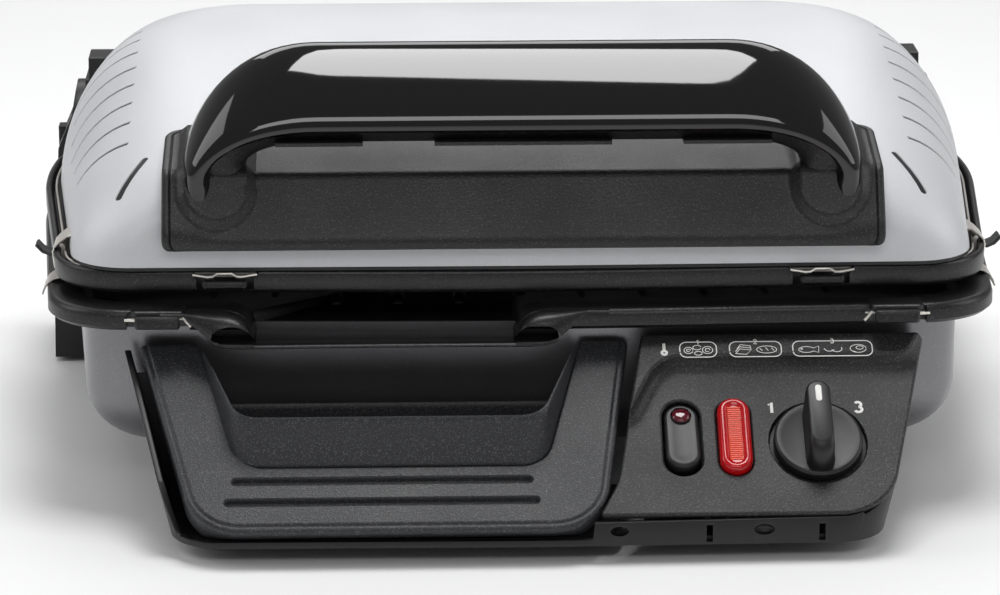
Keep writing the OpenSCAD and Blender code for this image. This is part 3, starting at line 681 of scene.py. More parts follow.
cover = make("handle_cover_skin", handle_part(1), "lid", "black_gloss", ["handle_cover"], 50)
insert = make("handle_insert_skin", handle_part(-1), "lid", "black_textured", ["handle_insert"], 50)
# finger slots under the bar's front edge and clip windows in its rear edge
FINGER_SLOTS, CLIP_X = ((-94, -61), (-34, 33), (60, 93.5)), (-63.7, 67.8)
carve(insert, [slab(((a + b) / 2, -93.5, 145.1), (b - a, 7, 1.3)) for a, b in FINGER_SLOTS], 50)
carve(cover, [slab((x, -64.6, 176.6), (13.5, 2.2, 6)) for x in CLIP_X], 50)


# ---- plates ----

def gap_near(spans, fine, coarse):
    """Station spacing that is fine where a front edge passes the spans of x."""
    def gap(p):
        near = [(p[:, 1] < -80) & (p[:, 0] > a) & (p[:, 0] < b) for a, b in spans]
        return np.where(np.any(near, axis=0), fine, coarse)
    return gap


def swept(loop, profile, change):
    """Rings of a profile of (inset, height) that runs round an outline, each height z at inset d
    turned into change(points, d, z)."""
    plans = [(shrink(loop, d), d, z) for d, z in profile]
    return [level(plan, change(plan, d, z)) for plan, d, z in plans]


def towards(ring, middle, z):
    """A ring drawn in to its middle, at height z."""
    return level(np.array(middle) + (ring[:, :2] - middle) * 0.3, z)


def plate_skin(rings, middle, first, last):
    """Loft of the rings with a smaller ring inside its first and last one, at these heights."""
    return loft([towards(rings[0], middle, first), *rings, towards(rings[-1], middle, last)])


FLOOR_Z, EAR_X, EAR_R, EAR_FOOT = LOWER_Z + 3, (-116.5, 10), 13.8, 69.3
EAR_BEND, EAR_Y, SPILL_Y, LIP_THICK = 2.6, -101.6, -83, 2.4
SPILL_FALL, SPILL_RUN = 5.5, 27


def spill_z(y):
    """The pouring lip slopes down from the plate's floor to the front."""
    return np.where(y < SPILL_Y, FLOOR_Z + (y - SPILL_Y) * SPILL_FALL / SPILL_RUN, FLOOR_Z)


def ear_z(x, at):
    """Height of the rim where it curves down beside the pouring lip."""
    fall = np.clip(1 - np.abs((x - at) / EAR_R) ** EAR_BEND, 0, 1)
    return EAR_FOOT + (LOWER_TOP - EAR_FOOT) * fall ** (1 / EAR_BEND)


def open_front(plan, d, z):
    """The lower rim falls to the pouring lip between the ears."""
    x, y = plan.T
    lip = np.maximum(spill_z(y), np.maximum(ear_z(x, EAR_X[0]), ear_z(x, EAR_X[1])))
    gone = (x > EAR_X[0]) & (x < EAR_X[1]) & (y < -70)
    if z > LOWER_Z:
        return np.where(gone, np.minimum(z, lip), z)
    return np.where(gone, np.minimum(z, spill_z(y) - LIP_THICK), z)


LOWER_PROFILE = [(20, 74), (3, 74), (1.6, 74.1), (1.1, 74.6), (0, 75.6), (0, 79.3), (0.25, 80.4), (0.9, 81.4),
                 (1.8, 81.9), (2.8, 82), (8, 82), (13.2, 82), (14.4, 81.6), (15.2, 80.8), (15.7, 79.6),
                 (16.2, 78.2), (17, 77.3), (18.2, 77)]
lower_loop = spaced(rim_outline(LOWER_RIM), gap_near([(-132, -98), (-8, 26)], 0.5, 2.4))
lower_plate = plate_skin(swept(lower_loop, LOWER_PROFILE, open_front), PLATE_MID, 74, FLOOR_Z)
RIB_X, RIB_ENDS = np.arange(-144, 145, 24), ((0, 0.2), (0.8, 0.7), (2.5, 0.95), (5, 1))
RIB_SIDE = [(-3, 0), (-2.6, 1.6), (-2.0, 2.8), (-1.1, 3.35), (0, 3.5), (1.1, 3.35), (2.0, 2.8), (2.6, 1.6),
            (3, 0), (2.4, -0.6), (-2.4, -0.6)]


def rib(x, y0, y1, z, out):
    """Rounded cooking rib along Y that stands out of a plate, up for out 1 and down for -1."""
    rings = []
    for y, k in [(y0 + e, k) for e, k in RIB_ENDS] + [(y1 - e, k) for e, k in RIB_ENDS[::-1]]:
        wide = 0.5 + k / 2
        rings.append(np.array([(x + a * wide, y, z + out * b * (k if b > 0 else 1)) for a, b in RIB_SIDE]))
    return loft(rings)


def rib_row(front, outer_front, back, z, out, short=(0, 0)):
    """Ribs side by side. The outermost ones are shorter, and those in a span of x start as far back."""
    rows = []
    for x in RIB_X:
        outer = abs(x) > 140
        start = outer_front if outer or short[0] < x < short[1] else front
        rows.append(rib(x, start, back - 20 * outer, z, out))
    return rows


floor_ribs = rib_row(-82, -60, 116, FLOOR_Z, 1, EAR_X)
# lower edge of an ear, from its outer end to the lip: across from the lip's middle, depth, height
SPOUT_MID = (EAR_X[0] + EAR_X[1]) / 2
EAR_EDGE = np.array([(76.5, -103.2, 80.6), (75.3, -103.9, 79.6), (73.4, -105, 78.2), (70.8, -106.3, 76.2),
                     (68.3, -107.5, 74.2), (66.2, -108.5, 72.7), (64.2, -109.3, 71.7), (61, -110, 70.9),
                     (55, -110.6, 70.6), (47, -110.8, 70.8), (0, -110.8, 70.9)])


def edge_at(x):
    """Depth and height of that edge at x."""
    far = np.abs(x - SPOUT_MID)
    return [np.interp(far, EAR_EDGE[::-1, 0], EAR_EDGE[::-1, k]) for k in (1, 2)]


def lip_ring(x):
    """Section of the pouring lip at x: forward along its top, round its edge and back below."""
    y, z = edge_at(x)
    back, mid = (float(spill_z(at)) + 0.15 for at in (-90.0, -99.0))
    section = [(-90, back), (-99, mid), (y + 1.2, z + 0.5), (y + 0.3, z + 0.1), (y, z - 0.45),
               (y + 0.4, z - 0.9), (y + 1.4, z - 1.1), (-99, z - 1.1), (-90, back - 3)]
    return np.array([(x, *p) for p in section])


lip_x = SPOUT_MID + np.r_[np.arange(-66, -44, 1.0), np.arange(-44, 44.1, 5.5), np.arange(45, 66.1, 1.0)]
lip = loft([lip_ring(x) for x in lip_x])


def facing(outline, y0, y1):
    """Block with an outline of (x, z) between two depths."""
    return loft([np.column_stack([outline[:, 0], np.full(len(outline), y), outline[:, 1]]) for y in (y0, y1)])


def ear(at):
    """The rim's end beside the pouring lip: it swells forward and then curves down into the lip."""
    side = 1 if at < SPOUT_MID else -1
    q = np.radians(np.arange(0, 91, 7.5))
    rings = []
    for u in (*np.arange(-22.0, 13.0, 0.8), 13.2, 13.6):
        x = at + side * u
        y, z = edge_at(x)
        top = LOWER_TOP - 0.2 if u < 0 else float(ear_z(x, at)) - 0.2
        z = min(z, top - 0.3)
        bend = [(x, EAR_Y + (y - EAR_Y) * math.sin(t) ** 0.75, z + (top - z) * math.cos(t) ** 0.7) for t in q]
        rings.append(np.array([(x, -97, top), *bend, (x, -97, z)]))
    return loft(rings)


def nostril(at):
    """Cutter for the arched opening under an ear."""
    side = 1 if at < SPOUT_MID else -1
    return facing(arc(at + side * 5.0, 71.6, 8.7, 6.6, 0, 180, 19), -114, -98.5)


def recess(at):
    """Cutter for the dark pocket round a release tab of the lower rim."""
    return facing(oblong(at - 12, at + 12, 72, 81.5, 1, 1.5, 20), -107, -93)


def pad(x):
    """Low raised pad on the lower rim, above a release tab."""
    plan = oblong(x - PAD_X, x + PAD_X, PAD_MID - PAD_Y, PAD_MID + PAD_Y, 2, 2, 15)
    z = LOWER_TOP - 0.4
    return loft([level(shrink(plan, d), z + up) for d, up in ((0, -1), (0, 0.5), (0.4, 0.9), (1, 1))])


TABS_LOW, TABS_UP = (-139.5, 142), (-114, 114)
PAD_MID, PAD_X, PAD_Y = -96.8, 10.2, 5.5
plate = make("lower_plate_skin", lower_plate, "base", "nonstick", ["lower_plate"], 40)
carve(plate, map(recess, TABS_LOW), 40)
make("lower_plate_trim", joined(*floor_ribs, lip, *map(pad, TABS_LOW)), "base", "nonstick", (), 40)
ears = make("spout_ears", joined(*map(ear, EAR_X)), "base", "nonstick", (), 50)
carve(ears, map(nostril, EAR_X), 50)

UPPER_PROFILE = [(18.2, 92), (17, 91.7), (16.2, 90.8), (15.8, 88.5), (15.2, 87.2), (14.4, 86.4), (13.2, 86),
                 (2.6, 86), (1.4, 86.2), (0.5, 86.8), (0, 88), (0, 93.4), (0.3, 94.4), (0.9, 94.9), (1.4, 95),
                 (1.9, 94.8), (2.3, 94.2), (2.5, 93), (2.7, 91), (3.4, 90.2), (8.2, 90.2), (9, 91),
                 (9.1, 94.4), (9.8, 95), (20, 95)]


def notched(plan, d, z):
    """The upper rim's lip dips at each release tab."""
    x, y = plan.T
    dip = np.max([smooth((12.6 - np.abs(x - at)) / 1.6) for at in TABS_UP], axis=0)
    return np.where((y < -70) & (d < 3.0) & (z > ROOF_Z), z - dip * (z - ROOF_Z), z)


upper_loop = spaced(rim_outline(UPPER_RIM), gap_near([(-129, -99), (99, 129)], 0.6, 2.4))
upper_plate = plate_skin(swept(upper_loop, UPPER_PROFILE, notched), (0, LID_MID_Y), ROOF_Z, UPPER_TOP)
plate = make("upper_plate_skin", upper_plate, "lid", "nonstick", ["upper_plate"], 40)
carve(plate, [slab((x, -90, 87.4), (22, 14, 5.6)) for x in TABS_UP], 40)
make("upper_plate_ribs", joined(*rib_row(-70, -50, 114, ROOF_Z, -1)), "lid", "nonstick")

# steel wire that lies in the upper rim's channel and shows at the sides, and its bows at the tabs
WIRE_R, BOW_R = 0.5, 0.45
HALF_BOW = [(2.7, -94.5, 95.1), (4.6, -94.5, 93.9), (6.5, -94.3, 93.7), (12.2, -93.3, 94.4)]
wire = spaced(shrink(rim_outline(UPPER_RIM), 4.4), lambda p: 4)
wire = tube(level(wire, 92.4 + 1.6 * smooth((wire[:, 1] + 90) / 12)), WIRE_R, True)
bow = [(-x, y, z) for x, y, z in HALF_BOW[::-1]] + HALF_BOW
bows = [tube([(at + x, y, z) for x, y, z in bow], BOW_R) for at in TABS_UP]
make("retaining_wire", joined(wire, *bows), "lid", "spring_steel")


def tab_shape(at, y, z, tall, drop):
    """Release tab: a finger plate that leans out at its foot, with rounded edges and a stem behind."""
    front = []
    for w, a, b in ((7.3, -0.5, 0.8), (8.1, -0.1, 0.35), (8.5, 0.5, 0.1), (8.5, 2.2, 0), (8.2, 2.8, 0.3)):
        right = [(w - 0.6, a, b), (w, a + drop * 0.2, b + 0.7), (w, a + drop, tall - b - 0.5),
                 (w - 0.6, a + drop, tall - b)]
        left = [(-u, v, h) for u, v, h in right]
        front.append(np.array([(at + u, y + v, z + h) for u, v, h in (left[0], *right, *left[:0:-1])]))
    return joined(loft(front), slab((at, y + 4.6, z + 0.6), (8, 4.2, 2.4)))


TABS = {"lower": (TABS_LOW, (-105.2, 76.1, 5.0, 0.7)), "upper": (TABS_UP, (-94.4, 88.9, 3.2, 0.4))}
for plate_name, (places, shape) in TABS.items():
    for side, at in zip(("left", "right"), places):
        name = f"{plate_name}_release_{side}"
        make(name + "_skin", tab_shape(at, *shape), name, "black_textured", [name])
# ends of the wire that springs the lower tabs out
ends = []
for at, side in zip(TABS_LOW, (1, -1)):
    for path in ([(-12.4, -102.6, 79.4), (-7.5, -103.2, 79.4)], [(9.6, -103.4, 80.4), (12.8, -104.4, 77.2)]):
        ends.append(tube([(at + side * x, y, z) for x, y, z in path], WIRE_R))
make("tab_wires", joined(*ends), "base", "spring_steel")


# ---- base pan ----

PAN_Z, PAN_ROUND, PAN_INSET = 20, 24, 13


def pan_ring(d, z):
    """The pan's outline at height z, moved inwards by d."""
    return level(evenly(rim_outline(LOWER_RIM, PAN_INSET + d), 300), z)


def pan_side(thick):
    """The pan's floor, round and wall, a thickness in from its outside."""
    turns = np.radians(np.arange(90, -1, -7.5))
    rings = [pan_ring(thick + PAN_ROUND * (1 - math.cos(a)), PAN_Z + thick + PAN_ROUND * (1 - math.sin(a)))
             for a in turns]
    return [towards(rings[0], PLATE_MID, PAN_Z + thick), *rings, pan_ring(thick, 60), pan_ring(thick, 74)]


make("base_pan_skin", loft(pan_side(0) + pan_side(SHEET)[::-1]), "base", "pan_grey", ["base_pan"], 40)


# ---- console and control panel ----

CONSOLE_Z, SILL_Z, PANEL_TOP_V = 7, 9.5, 82.4
PANEL_EDGE = [(44.6, PANEL_TOP_V, 1), (33.4, 18, 26), (25.6, 2.4, 1.5)]
panel_plan = rounded([*PANEL_EDGE, (134.3, 2.4, 24), (153.2, PANEL_TOP_V, 1)], 5)
SHELF_EDGE = rounded([(34, 44, 0), (39, 47, 6), (51, 71.8, 16), (146, 71.8, 9), (152, 84, 0)], 6)
shelf_plan = np.vstack([SHELF_EDGE, [(170, 84), (170, 95), (10, 95), (10, 44)]])
KNOB, SWITCH, LAMP = (109.3, 34.6), (58.2, 37.2), (78, 37.2)
KNOB_R, WELL_R, WELL_H, BORE_R = 16.8, 18.3, 2.6, 5.05
SHELF_H, SHELF_LIP, SHELF_FOOT = 5.0, 0.5, 8


def panel_height(points, d):
    """The panel's face: a shelf along its top with a hollow slope below, and the knob's well."""
    gap = depth_in(points, shelf_plan)
    ramp = (SHELF_H - SHELF_LIP) * np.clip(1 + gap / SHELF_FOOT, 0, 1) ** 5
    h = np.where(gap > 0, SHELF_H - SHELF_LIP * (1 - smooth(gap / 1.2)), ramp)
    h -= WELL_H * smooth((WELL_R - np.linalg.norm(points - KNOB, axis=1)) / 0.5 + 0.5)
    return h - round_edge(d, 1.1)


shelf_fine = evenly(shelf_plan, 900)
shelf_fine = shelf_fine[(shelf_fine[:, 0] > 30) & (shelf_fine[:, 0] < 154) & (shelf_fine[:, 1] < 84)]
fine_rows = [shrink(shelf_fine, k)[4:-4]
             for k in (-8, -6, -4.5, -3.4, -2.6, -2, -1.5, -1.1, -0.7, -0.4, -0.1, 0.2, 0.6, 1.2)]
fine_rows += [circle(WELL_R + k, KNOB, 120) for k in (-0.5, -0.2, 0.1, 0.5)]
windows = [pill(34, 14.3, SWITCH, (0, 1)), pill(34, 12.8, LAMP, (0, 1)), circle(BORE_R, KNOB, 36)]
panel_skin = relief(panel_plan, windows, panel_height, lambda p, d: -2.0, 1.4,
                    (0.15, 0.4, 0.7, 1.0, 1.2, 1.5, 2.1), fine_rows)
make("control_panel_skin", set_in(panel_skin), "base", "black_matte", ["control_panel"], 38)


# the console narrows by this share of its width over this height, down from its top
LEAN_SHARE, LEAN_OVER, LEAN_TOP = 0.235, 150, 67


def leaning(part):
    """The console's side walls lean in towards the table."""
    def place(p):
        return np.array((p[0] * (1 - LEAN_SHARE * (LEAN_TOP - p[2]) / LEAN_OVER), p[1], p[2]))
    return moved(part, place)


# the console's outline from its left rear corner round the front to the right one
CONSOLE_BACK = -92.2
ring = evenly(both_sides((0, -160, 900), [(146, -158, 22), (153.6, -91.4, 1)], 4), 1200)
ring = ring[ring[:, 1] < CONSOLE_BACK]
ring = ring[np.argsort(np.arctan2(ring[:, 0], 100 - ring[:, 1]))]


def console_top(p):
    """The console's wall stays a little below the panel's plane, and it is open where the tray comes
    out through the front."""
    below = np.where(p[:, 0] < 0, 3.4, np.where(p[:, 1] < -156.5, 1.2, 2.4))
    high_z = np.minimum(slope_z(p[:, 1]) - below, 72)
    open_z = SILL_Z + (high_z - SILL_Z) * smooth((p[:, 1] + 150) / 9)
    return np.where(p[:, 0] < 25.5, np.maximum(open_z, SILL_Z), np.maximum(high_z, 12))


walls = leaning(wall(ring, 2.5, CONSOLE_Z, console_top, 0.5))
edge_path = np.array([on_panel((u, v, 0))[:2] for u, v in rounded(PANEL_EDGE, 6)])
edge_path = edge_path[edge_path[:, 1] < -95.5]
partition = wall(edge_path[::-1], -2.4, SILL_Z - 0.5, lambda p: slope_z(p[:, 1]) - 4.6, 0.4)
bay_plan = np.vstack([[(-137, -95.6), (-131.5, -140), (-127, -149), (-119, -155.5), (24, -156.5)],
                      edge_path[::-1][::4], [(44, -95.6)]])
bay = loft([level(bay_plan, CONSOLE_Z), level(bay_plan, SILL_Z)])
BOSS = [(1.3, 9.5), (3.2, 9.5), (3.2, 14.5), (1.3, 14.5)]
BOSSES = ((60, -104), (130, -104), (60, -148), (116, -147))
# rear wall of the tray's bay, left of the tray
bay_back = leaning(slab((-138.5, -94.5, CONSOLE_Z), (29, 2.0, 49)))
console_skin = joined(walls, partition, bay, bay_back, *[spun(BOSS, 24, at, True) for at in BOSSES])
console = make("console_skin", console_skin, "base", "black_smooth", ["console"], 40)
BALL = [(0.4, -2.0), (2.0, -1.8), (3.4, -1.0), (3.9, 0), (3.4, 1.0), (2.0, 1.8), (0.4, 2.0)]
dimples = [moved(spun(BALL, 24), lambda p, x=x: np.array((x + p[0], -158.6 + p[2], 12.6 + 0.55 * p[1])))
           for x in (33, 87)]
drains = [slab((x, -157, CONSOLE_Z + 1), (2.4, 5, 6.6)) for x in (66.6, 108.7)]
carve(console, dimples + drains, 40)


# ---- drip tray ----

TRAY_OUT = [(-147, 83.4, 1.2), (-124.5, -3, 22), (27.6, -3, 22), (39.8, 83.4, 1.2)]
TRAY_IN = [(21.6, 83.4, 1.2), (6.6, 25.4, 12), (-107.6, 25.4, 12), (-125, 83.4, 1.2)]
tray_plan = rounded(TRAY_OUT + TRAY_IN, 5)
tray_rim = rounded([(-151.3, 100, 1), *TRAY_OUT[1:3], (42.1, 100, 1)], 5)
grooves = [pill(113, 3.8, (-54.8, 19.3)), pill(118, 3.8, (-55, 9.9))]
GROOVE_DEEP, RIM_STEP = 2.3, 0.7


def tray_height(points, d):
    """The tray's face: a lower step along its outer edge, and two grooves."""
    far = distance(points, [tray_rim])
    h = -round_edge(far, 1.6) - RIM_STEP * smooth((3.4 - far) / 0.9)
    for groove in grooves:
        h -= GROOVE_DEEP * smooth((depth_in(points, groove) + 0.1) / 1.5)
    return h - round_edge(d, 0.6)


def tray_base(points, d):
    """The face's underside, with a skirt along its outer edge."""
    far = distance(points, [tray_rim])
    x, y = points.T
    deep = np.interp(y, (-3, 12, 40, 84), (10.5, 10, 8, 5))
    deep = np.where(x > -60, np.minimum(deep, np.interp(y, (-3, 6, 20), (10.5, 6, 4))), deep)
    return np.where(far < 2.3, -np.maximum(deep, 4), -2.9)


fine_rows = [shrink(evenly(g, 260), k) for g in grooves for k in (-0.4, -0.1, 0.2, 0.5, 0.8, 1.1, 1.5, 1.85)]
fine_rows += [shrink(evenly(tray_rim, 500), k)[4:-4]
              for k in (1.3, 1.6, 1.9, 2.2, 2.45, 2.7, 2.95, 3.2, 3.45, 3.9)]
face = set_in(relief(tray_plan, [], tray_height, tray_base, 2.0, (0.2, 0.5, 1.0, 1.6), fine_rows))
face = (np.maximum(face[0], (-np.inf, -np.inf, SILL_Z + 0.4)), face[1])
BASIN_Z, BASIN_BACK = 9.95, -98.4
# where the basin's rim starts at the front, and its rise over its run
RIM_Y, RIM_Z, RIM_RISE, RIM_RUN = -137, 51.6, 14.9, 39


def basin_loop(d):
    """Outline of the tray's basin, moved inwards by d."""
    return evenly(rounded([(-109.8 + d, -138 + d, 11), (6.4 - d, -138 + d, 11),
                           (21.2 - d, -94.4 - d, 2), (-124.6 + d, -94.4 - d, 2)], 5), 320)


def basin_rim(plan):
    """The basin's rim rises with the panel's slope and drops at the back."""
    y = plan[:, 1]
    drop = np.interp(y, (BASIN_BACK, -96.6), (66.3, 43.5))
    return np.where(y < BASIN_BACK, RIM_Z + (y - RIM_Y) * RIM_RISE / RIM_RUN, drop)


# the basin's wall as (inset, share of its height), up the outside and down to the floor inside
BASIN_SIDE = ((3.2, 0), (1.6, 0.012), (0.8, 0.05), (-0.5, 0.5), (0.1, 0.94), (0.25, 0.985), (0.6, 1.0),
              (1.2, 1.0), (1.6, 0.985), (1.9, 0.93), (3, 0.5), (5, 0.12), (7, 0.062), (10, 0.05))
basin_high = basin_rim(basin_loop(0)) - BASIN_Z
basin = loft([level(basin_loop(d), BASIN_Z + basin_high * share) for d, share in BASIN_SIDE])
make("drip_tray_skin", joined(face, basin), "tray", "tray_grey", ["drip_tray"], 38)


# ---- controls ----

DISC = [(3, 0), (15.3, -1.2), (16.5, -1.2), (KNOB_R, -0.8), (KNOB_R, 2.2), (16.6, 2.8), (16.1, 3.2),
        (15.4, 3.35), (13.8, 3.0), (3, 2.9)]
# the knob's grip as levels of (height, lower end, upper end, width)
GRIP_LEVELS = [(2.4, -15.4, 15.4, 11.2), (4.6, -15.0, 16.4, 10.4), (7, -15.0, 17.6, 9.9),
               (10.5, -13.4, 18.6, 9.5), (12.4, -11.8, 19.0, 9.2), (13.3, -10.3, 18.9, 8.8),
               (13.8, -9.3, 18.5, 8.2), (14.0, -8.6, 17.9, 7.2)]
grip = loft([level(pill(b - a, w, (0, (a + b) / 2), (0, 1), 6), z) for z, a, b, w in GRIP_LEVELS])
make("knob_skin", set_in(joined(spun(DISC), grip), KNOB), "knob", "black_smooth", ["knob"], 40)
mark = [level(pill(7.4 - d, 2.3 - d, (0, 12.9), (0, 1)), z) for d, z in ((0, 13.8), (0, 14.1), (0.2, 14.15))]
make("knob_mark", set_in(loft(mark), KNOB), "knob", "ivory")

ROCKER_TILT, AXLE_W, AXLE_R, JEWEL_AT = math.radians(6), -7, 1.2, (0, 9.5)


def rocking(part):
    """A part of the rocker, tilted about its axle below the panel."""
    c, s = math.cos(ROCKER_TILT), math.sin(ROCKER_TILT)
    return moved(part, lambda p: on_panel((p[0], c * p[1] + s * p[2], AXLE_W - s * p[1] + c * p[2]), SWITCH))


button = pill_stack(31, 13.1, ((0.4, -2.5), (0, -2), (0, 6.6), (0.25, 7.4), (0.8, 7.85), (1.6, 8.0),
                               (3.4, 7.7), (6.2, 7.6)))
turns = np.arange(0, 2 * math.pi, 0.4)
axle = loft([np.array([(x, AXLE_R * math.cos(a), AXLE_R * math.sin(a)) for a in turns]) for x in (-8.8, 8.8)])
make("rocker_button_skin", rocking(joined(button, axle)), "rocker", "black_smooth", ["rocker_button"], 40)
jewel = spun(((3.55, 5.5), (3.55, 7.7), (3.3, 8.3), (2.7, 8.75), (1.8, 9.0), (0.6, 9.1)), 48, JEWEL_AT)
make("rocker_jewel_skin", rocking(jewel), "rocker", "jewel", ["rocker_jewel"], 50)
bezel = spun(((3.5, 7.2), (4.1, 7.2), (4.0, 8.1), (3.7, 8.25), (3.5, 8.0)), 48, JEWEL_AT, True)
make("rocker_bezel", rocking(bezel), "rocker", "black_gloss")

lens = pill_stack(33.4, 12.3, ((0, -5), (0, 1.2), (0.25, 2.2), (0.8, 2.9), (1.6, 3.3), (2.6, 3.2), (3.2, 2.7),
                               (3.6, 2.6), (4.4, 2.6)))
make("pilot_lens_skin", set_in(lens, LAMP), "base", "red_lens", ["pilot_lens"], 45)
# ribs moulded into the lens over the lamp
BAR = ((5.2, 0.62, 2.3), (5.2, 0.62, 2.75), (4.9, 0.36, 2.9))
bars = [loft([level(pill(length, width, (0, v)), z) for length, width, z in BAR])
        for v in np.arange(-11.7, 11.8, 0.9)]
make("pilot_lens_ribs", set_in(joined(*bars), LAMP), "base", "red_grid", (), 45)


# ---- printed marks ----

def stroke(points, w, width=0.42, closed=False):
    """Thin raised line of the print, on a level w above the panel."""
    path = np.column_stack([np.asarray(points, float), np.full(len(points), w)])
    return moved(tube(path, width / 2, closed, 6, 0.35), on_panel)


def digit(which, x, y, size):
    """Strokes of 1, 2 or 3 of a given height, centred at x, y."""
    s = size / 2
    if which == 1:
        return [[(x - 0.45 * s, y + 0.55 * s), (x + 0.1 * s, y + s), (x + 0.1 * s, y - s)]]
    if which == 2:
        top = arc(x, y + 0.45 * s, 0.58 * s, 0.55 * s, 170, -40)
        return [np.vstack([top, [(x - 0.6 * s, y - s), (x + 0.65 * s, y - s)]])]
    return [np.vstack([arc(x, y + 0.5 * s, 0.5 * s, 0.5 * s, 150, -80),
                       arc(x, y - 0.45 * s, 0.6 * s, 0.55 * s, 80, -150)])]


BOLD, THICK_LINE, THIN, FINE = 1.15, 0.5, 0.45, 0.3
FRAME_Y, FRAME_R = (71.1, 78.2), 2.6
SHELF_W = SHELF_H + 0.02
prints = []
for which, x, y in ((1, 92.6, 50.6), (2, 109.1, 59.0), (3, 125.7, 50.6)):
    prints += [stroke(line, 0.02, BOLD) for line in digit(which, x, y, 4.6)]
# a thermometer, then for each group of food a frame, open for one step of a corner, and a numeral
prints += [stroke(arc(53, 73.3, 0.9, 0.9, 0, 360)[:-1], SHELF_W, 1.1, True),
           stroke([(52.7, 74), (52.7, 77.6), (53.3, 77.6), (53.3, 74)], SHELF_W, THICK_LINE)]
for which, x0, x1 in ((1, 59, 73), (2, 78, 97.8), (3, 102.2, 132.6)):
    outline = oblong(x0, x1, *FRAME_Y, FRAME_R, FRAME_R, 12)
    prints.append(stroke(np.roll(outline, -1, axis=0), SHELF_W, THIN))
    prints += [stroke(line, SHELF_W + 0.05, 0.4) for line in digit(which, (x0 + x1) / 2, 78.1, 2.0)]
# food inside the frames: vegetables, then bread and a loaf, then fish, sausage and steak
foods = [arc(62.3, 74.3, 1.7, 1.5, 0, 340), arc(65.6, 75.6, 1.6, 1.1, 20, 340),
         arc(66.0, 72.9, 1.5, 0.9, 0, 350), arc(69.6, 74.4, 2.0, 1.7, 40, 390),
         arc(62.3, 74.3, 0.8, 0.6, 0, 300), arc(69.6, 74.4, 0.9, 0.8, 0, 300),
         [(80.2, 72.6), (84.4, 72.2), (86.2, 74.2), (82, 74.8), (80.2, 72.6)],
         [(80.2, 73.6), (82, 75.8), (86.2, 75.2)], [(80.8, 74.6), (82.2, 76.8), (86, 76.2), (86.2, 74.2)],
         arc(92.2, 74.4, 3.9, 1.7, -20, 340), [(89.6, 74.9), (90.6, 73.9)], [(91.8, 75.3), (92.8, 73.9)],
         [(94, 75.2), (95, 73.9)], arc(107.4, 74.2, 3.0, 1.4, 30, 330),
         [(110.0, 74.9), (112.2, 75.8), (112.0, 72.8), (110.0, 73.5)], arc(105.6, 74.5, 0.3, 0.3, 0, 360),
         arc(116.2, 74.9, 2.0, 1.6, 190, 330), arc(119.0, 74.6, 2.0, 1.6, 200, 380),
         arc(127.2, 74.5, 3.1, 1.9, 0, 350), arc(127.8, 74.9, 1.4, 0.8, 0, 350),
         [(124.8, 73.4), (126.2, 72.9)]]
prints += [stroke(line, SHELF_W, FINE) for line in foods]
make("printed_marks", joined(*prints), "base", "ivory")


# ---- side latches ----

# lines of (x, z) on the right side, with half their width
HOOK = [(170.6, 97.2), (171.2, 98.9), (172.5, 100.2), (174.2, 100.9), (176.4, 100.1), (179.2, 98.0),
        (181.2, 95.9), (181.9, 93.8), (181.8, 91), (181.4, 87.6), (180.6, 85.4), (179.6, 84.4)]
HOOK_WIDE = np.interp(np.arange(len(HOOK)), (0, 6, 8, 11), (7.2, 7.2, 4.6, 4.6))
FOOT = [(174.6, 83.5), (176.5, 83.8), (179.4, 83.7), (182.0, 83.0), (184.2, 81.4), (185.6, 79.2),
        (186.4, 76.9)]
LATCH_EAR = [(181.2, 92.4), (183.4, 91.8), (186.2, 93.0), (188.6, 95.6)]


def latch_strip(side, line, wide, y, thick):
    """Flat strip of a latch along a line, its middle at depth y."""
    path = np.array([(side * x, y, z) for x, z in line])
    rings = []
    for p, t, w in zip(path, np.gradient(path, axis=0), np.broadcast_to(wide, len(line))):
        edge = np.array((0, w, 0))
        flat = edge * (1 - 0.25 * thick / w)
        out = unit(np.cross(edge, t)) * thick / 2
        rings.append(np.array([p - edge, p - flat + out, p + flat + out,
                               p + edge, p + flat - out, p - flat - out]))
    return loft(rings)


for name, side in (("latch_left", -1), ("latch_right", 1)):
    steel = joined(latch_strip(side, HOOK, HOOK_WIDE, -50.5, 0.7), latch_strip(side, FOOT, 6.6, -50.5, 0.7))
    make(name + "_skin", steel, name, "spring_steel", [name], 30)
    ear_strip = latch_strip(side, LATCH_EAR, 4.2, -48.5, 1.3)
    make(name + "_ear", ear_strip, name, "black_smooth", (), 30)


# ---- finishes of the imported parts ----

# each look's parts, by the start or end of their names, with the width of their bevel or 0
PLAIN = {
    "black_smooth": {"rear_beam": 1.2, "hinge_post": 1.6, "hinge_arm": 1.6, "console_bottom": 0,
                     "upper_frame": 0.3, "cord_gland": 0.4, "switch_body": 0.5, "hinge_sliders": 0},
    "rubber_feet": {"front_feet": 0.8, "rear_feet": 0.4},
    "bright_steel": {"reflector": 0, "heater_clips": 0, "hinge_rod": 0, "knob_shaft": 0, "screws": 0,
                     "thermostat": 0.6},
    "spring_steel": {"release_springs": 0, "latch_pins": 0},
    "sheath": {"heater": 0},
    "ivory": {"lamp_holder": 0, "terminal_block": 0.6},
}


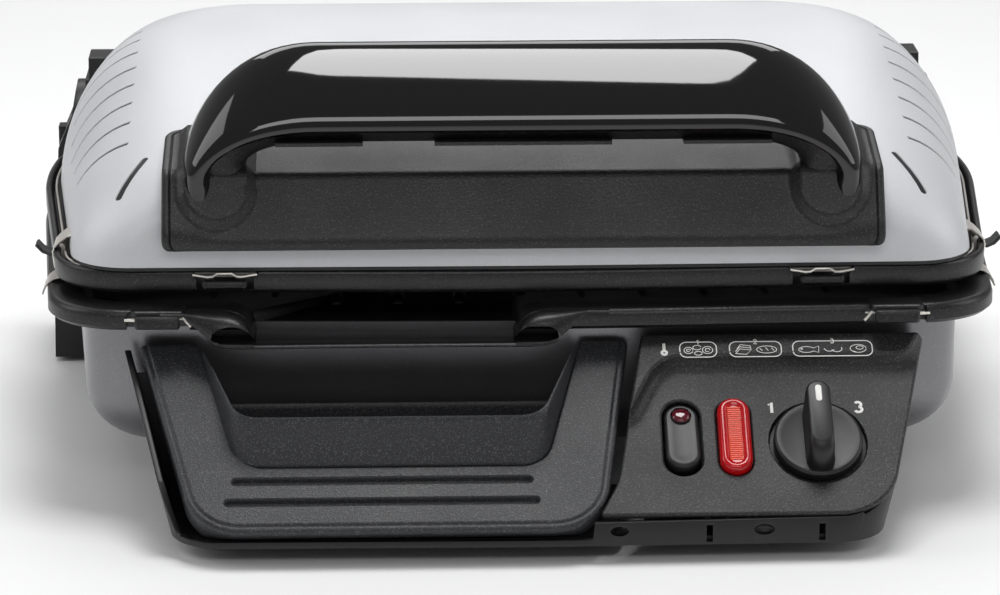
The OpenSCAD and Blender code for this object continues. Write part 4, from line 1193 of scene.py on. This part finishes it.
def dress(obj, look, width):
    """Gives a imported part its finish, and rounded edges where it has a bevel."""
    obj.data.materials.clear()
    obj.data.materials.append(LOOKS[look])
    if width:
        obj.modifiers.new("weld", "WELD").merge_threshold = 0.01 * MM
        bevel = obj.modifiers.new("bevel", "BEVEL")
        bevel.width = width * MM
        bevel.segments = 3
        bevel.limit_method = "ANGLE"
        bevel.angle_limit = math.radians(40)
        bevel.use_clamp_overlap = True


for look, parts in PLAIN.items():
    for part, width in parts.items():
        for name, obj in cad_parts.items():
            if name.startswith(part) or name.endswith(part):
                dress(obj, look, width)


# ---- stage, camera and light ----

bpy.ops.mesh.primitive_plane_add(size=14, location=(0, 0, 0))
floor = bpy.context.object
floor.name = "studio_floor"
paper = bpy.data.materials.new("paper")
paper.use_nodes = True
sheet = paper.node_tree.nodes["Principled BSDF"].inputs
sheet["Base Color"].default_value = (0.93, 0.93, 0.935, 1)
sheet["Roughness"].default_value = 0.9
floor.data.materials.append(paper)

PITCH, YAW = math.radians(16.06), math.radians(1.90)
view = bpy.data.cameras.new("view")
view.lens = 144
view.sensor_width = 36
view.clip_end = 30
camera = placed("view", view)
camera.location = Vector((-57.9, -1560.1, 506.9)) * MM
camera.rotation_euler = (math.pi / 2 - PITCH, 0, -YAW)
scene.camera = camera

world = bpy.data.worlds.new("studio")
scene.world = world
world.use_nodes = True
background = world.node_tree.nodes["Background"].inputs
background["Color"].default_value = (1, 1, 1, 1)
background["Strength"].default_value = 0.24

# lights: size, place and aim in metres, and power in watts
SOFTBOXES = {
    "top": ((0.62, 0.55), (0.05, 0.05, 1.35), (0.02, 0, 0), 10),
    "left": ((1.2, 1.4), (-1.9, 0.1, 1.2), (0, 0, 0.08), 10),
    "right": ((1.2, 1.4), (1.9, -0.2, 1.0), (0, 0, 0.08), 9),
    "back": ((2.2, 0.8), (0.0, 1.6, 1.7), (0, 0, 0.1), 15),
    "front": ((1.8, 0.6), (0.0, -2.4, 1.9), (0, 0, 0.05), 12),
}
for name, (size, place, aim, power) in SOFTBOXES.items():
    light = bpy.data.lights.new(name, "AREA")
    light.shape = "RECTANGLE"
    light.size, light.size_y = size
    light.energy = power
    softbox = placed(name, light)
    softbox.location = place
    softbox.rotation_euler = (Vector(aim) - Vector(place)).to_track_quat("-Z", "Y").to_euler()

scene.view_settings.view_transform = "Standard"
scene.view_settings.look = "None"
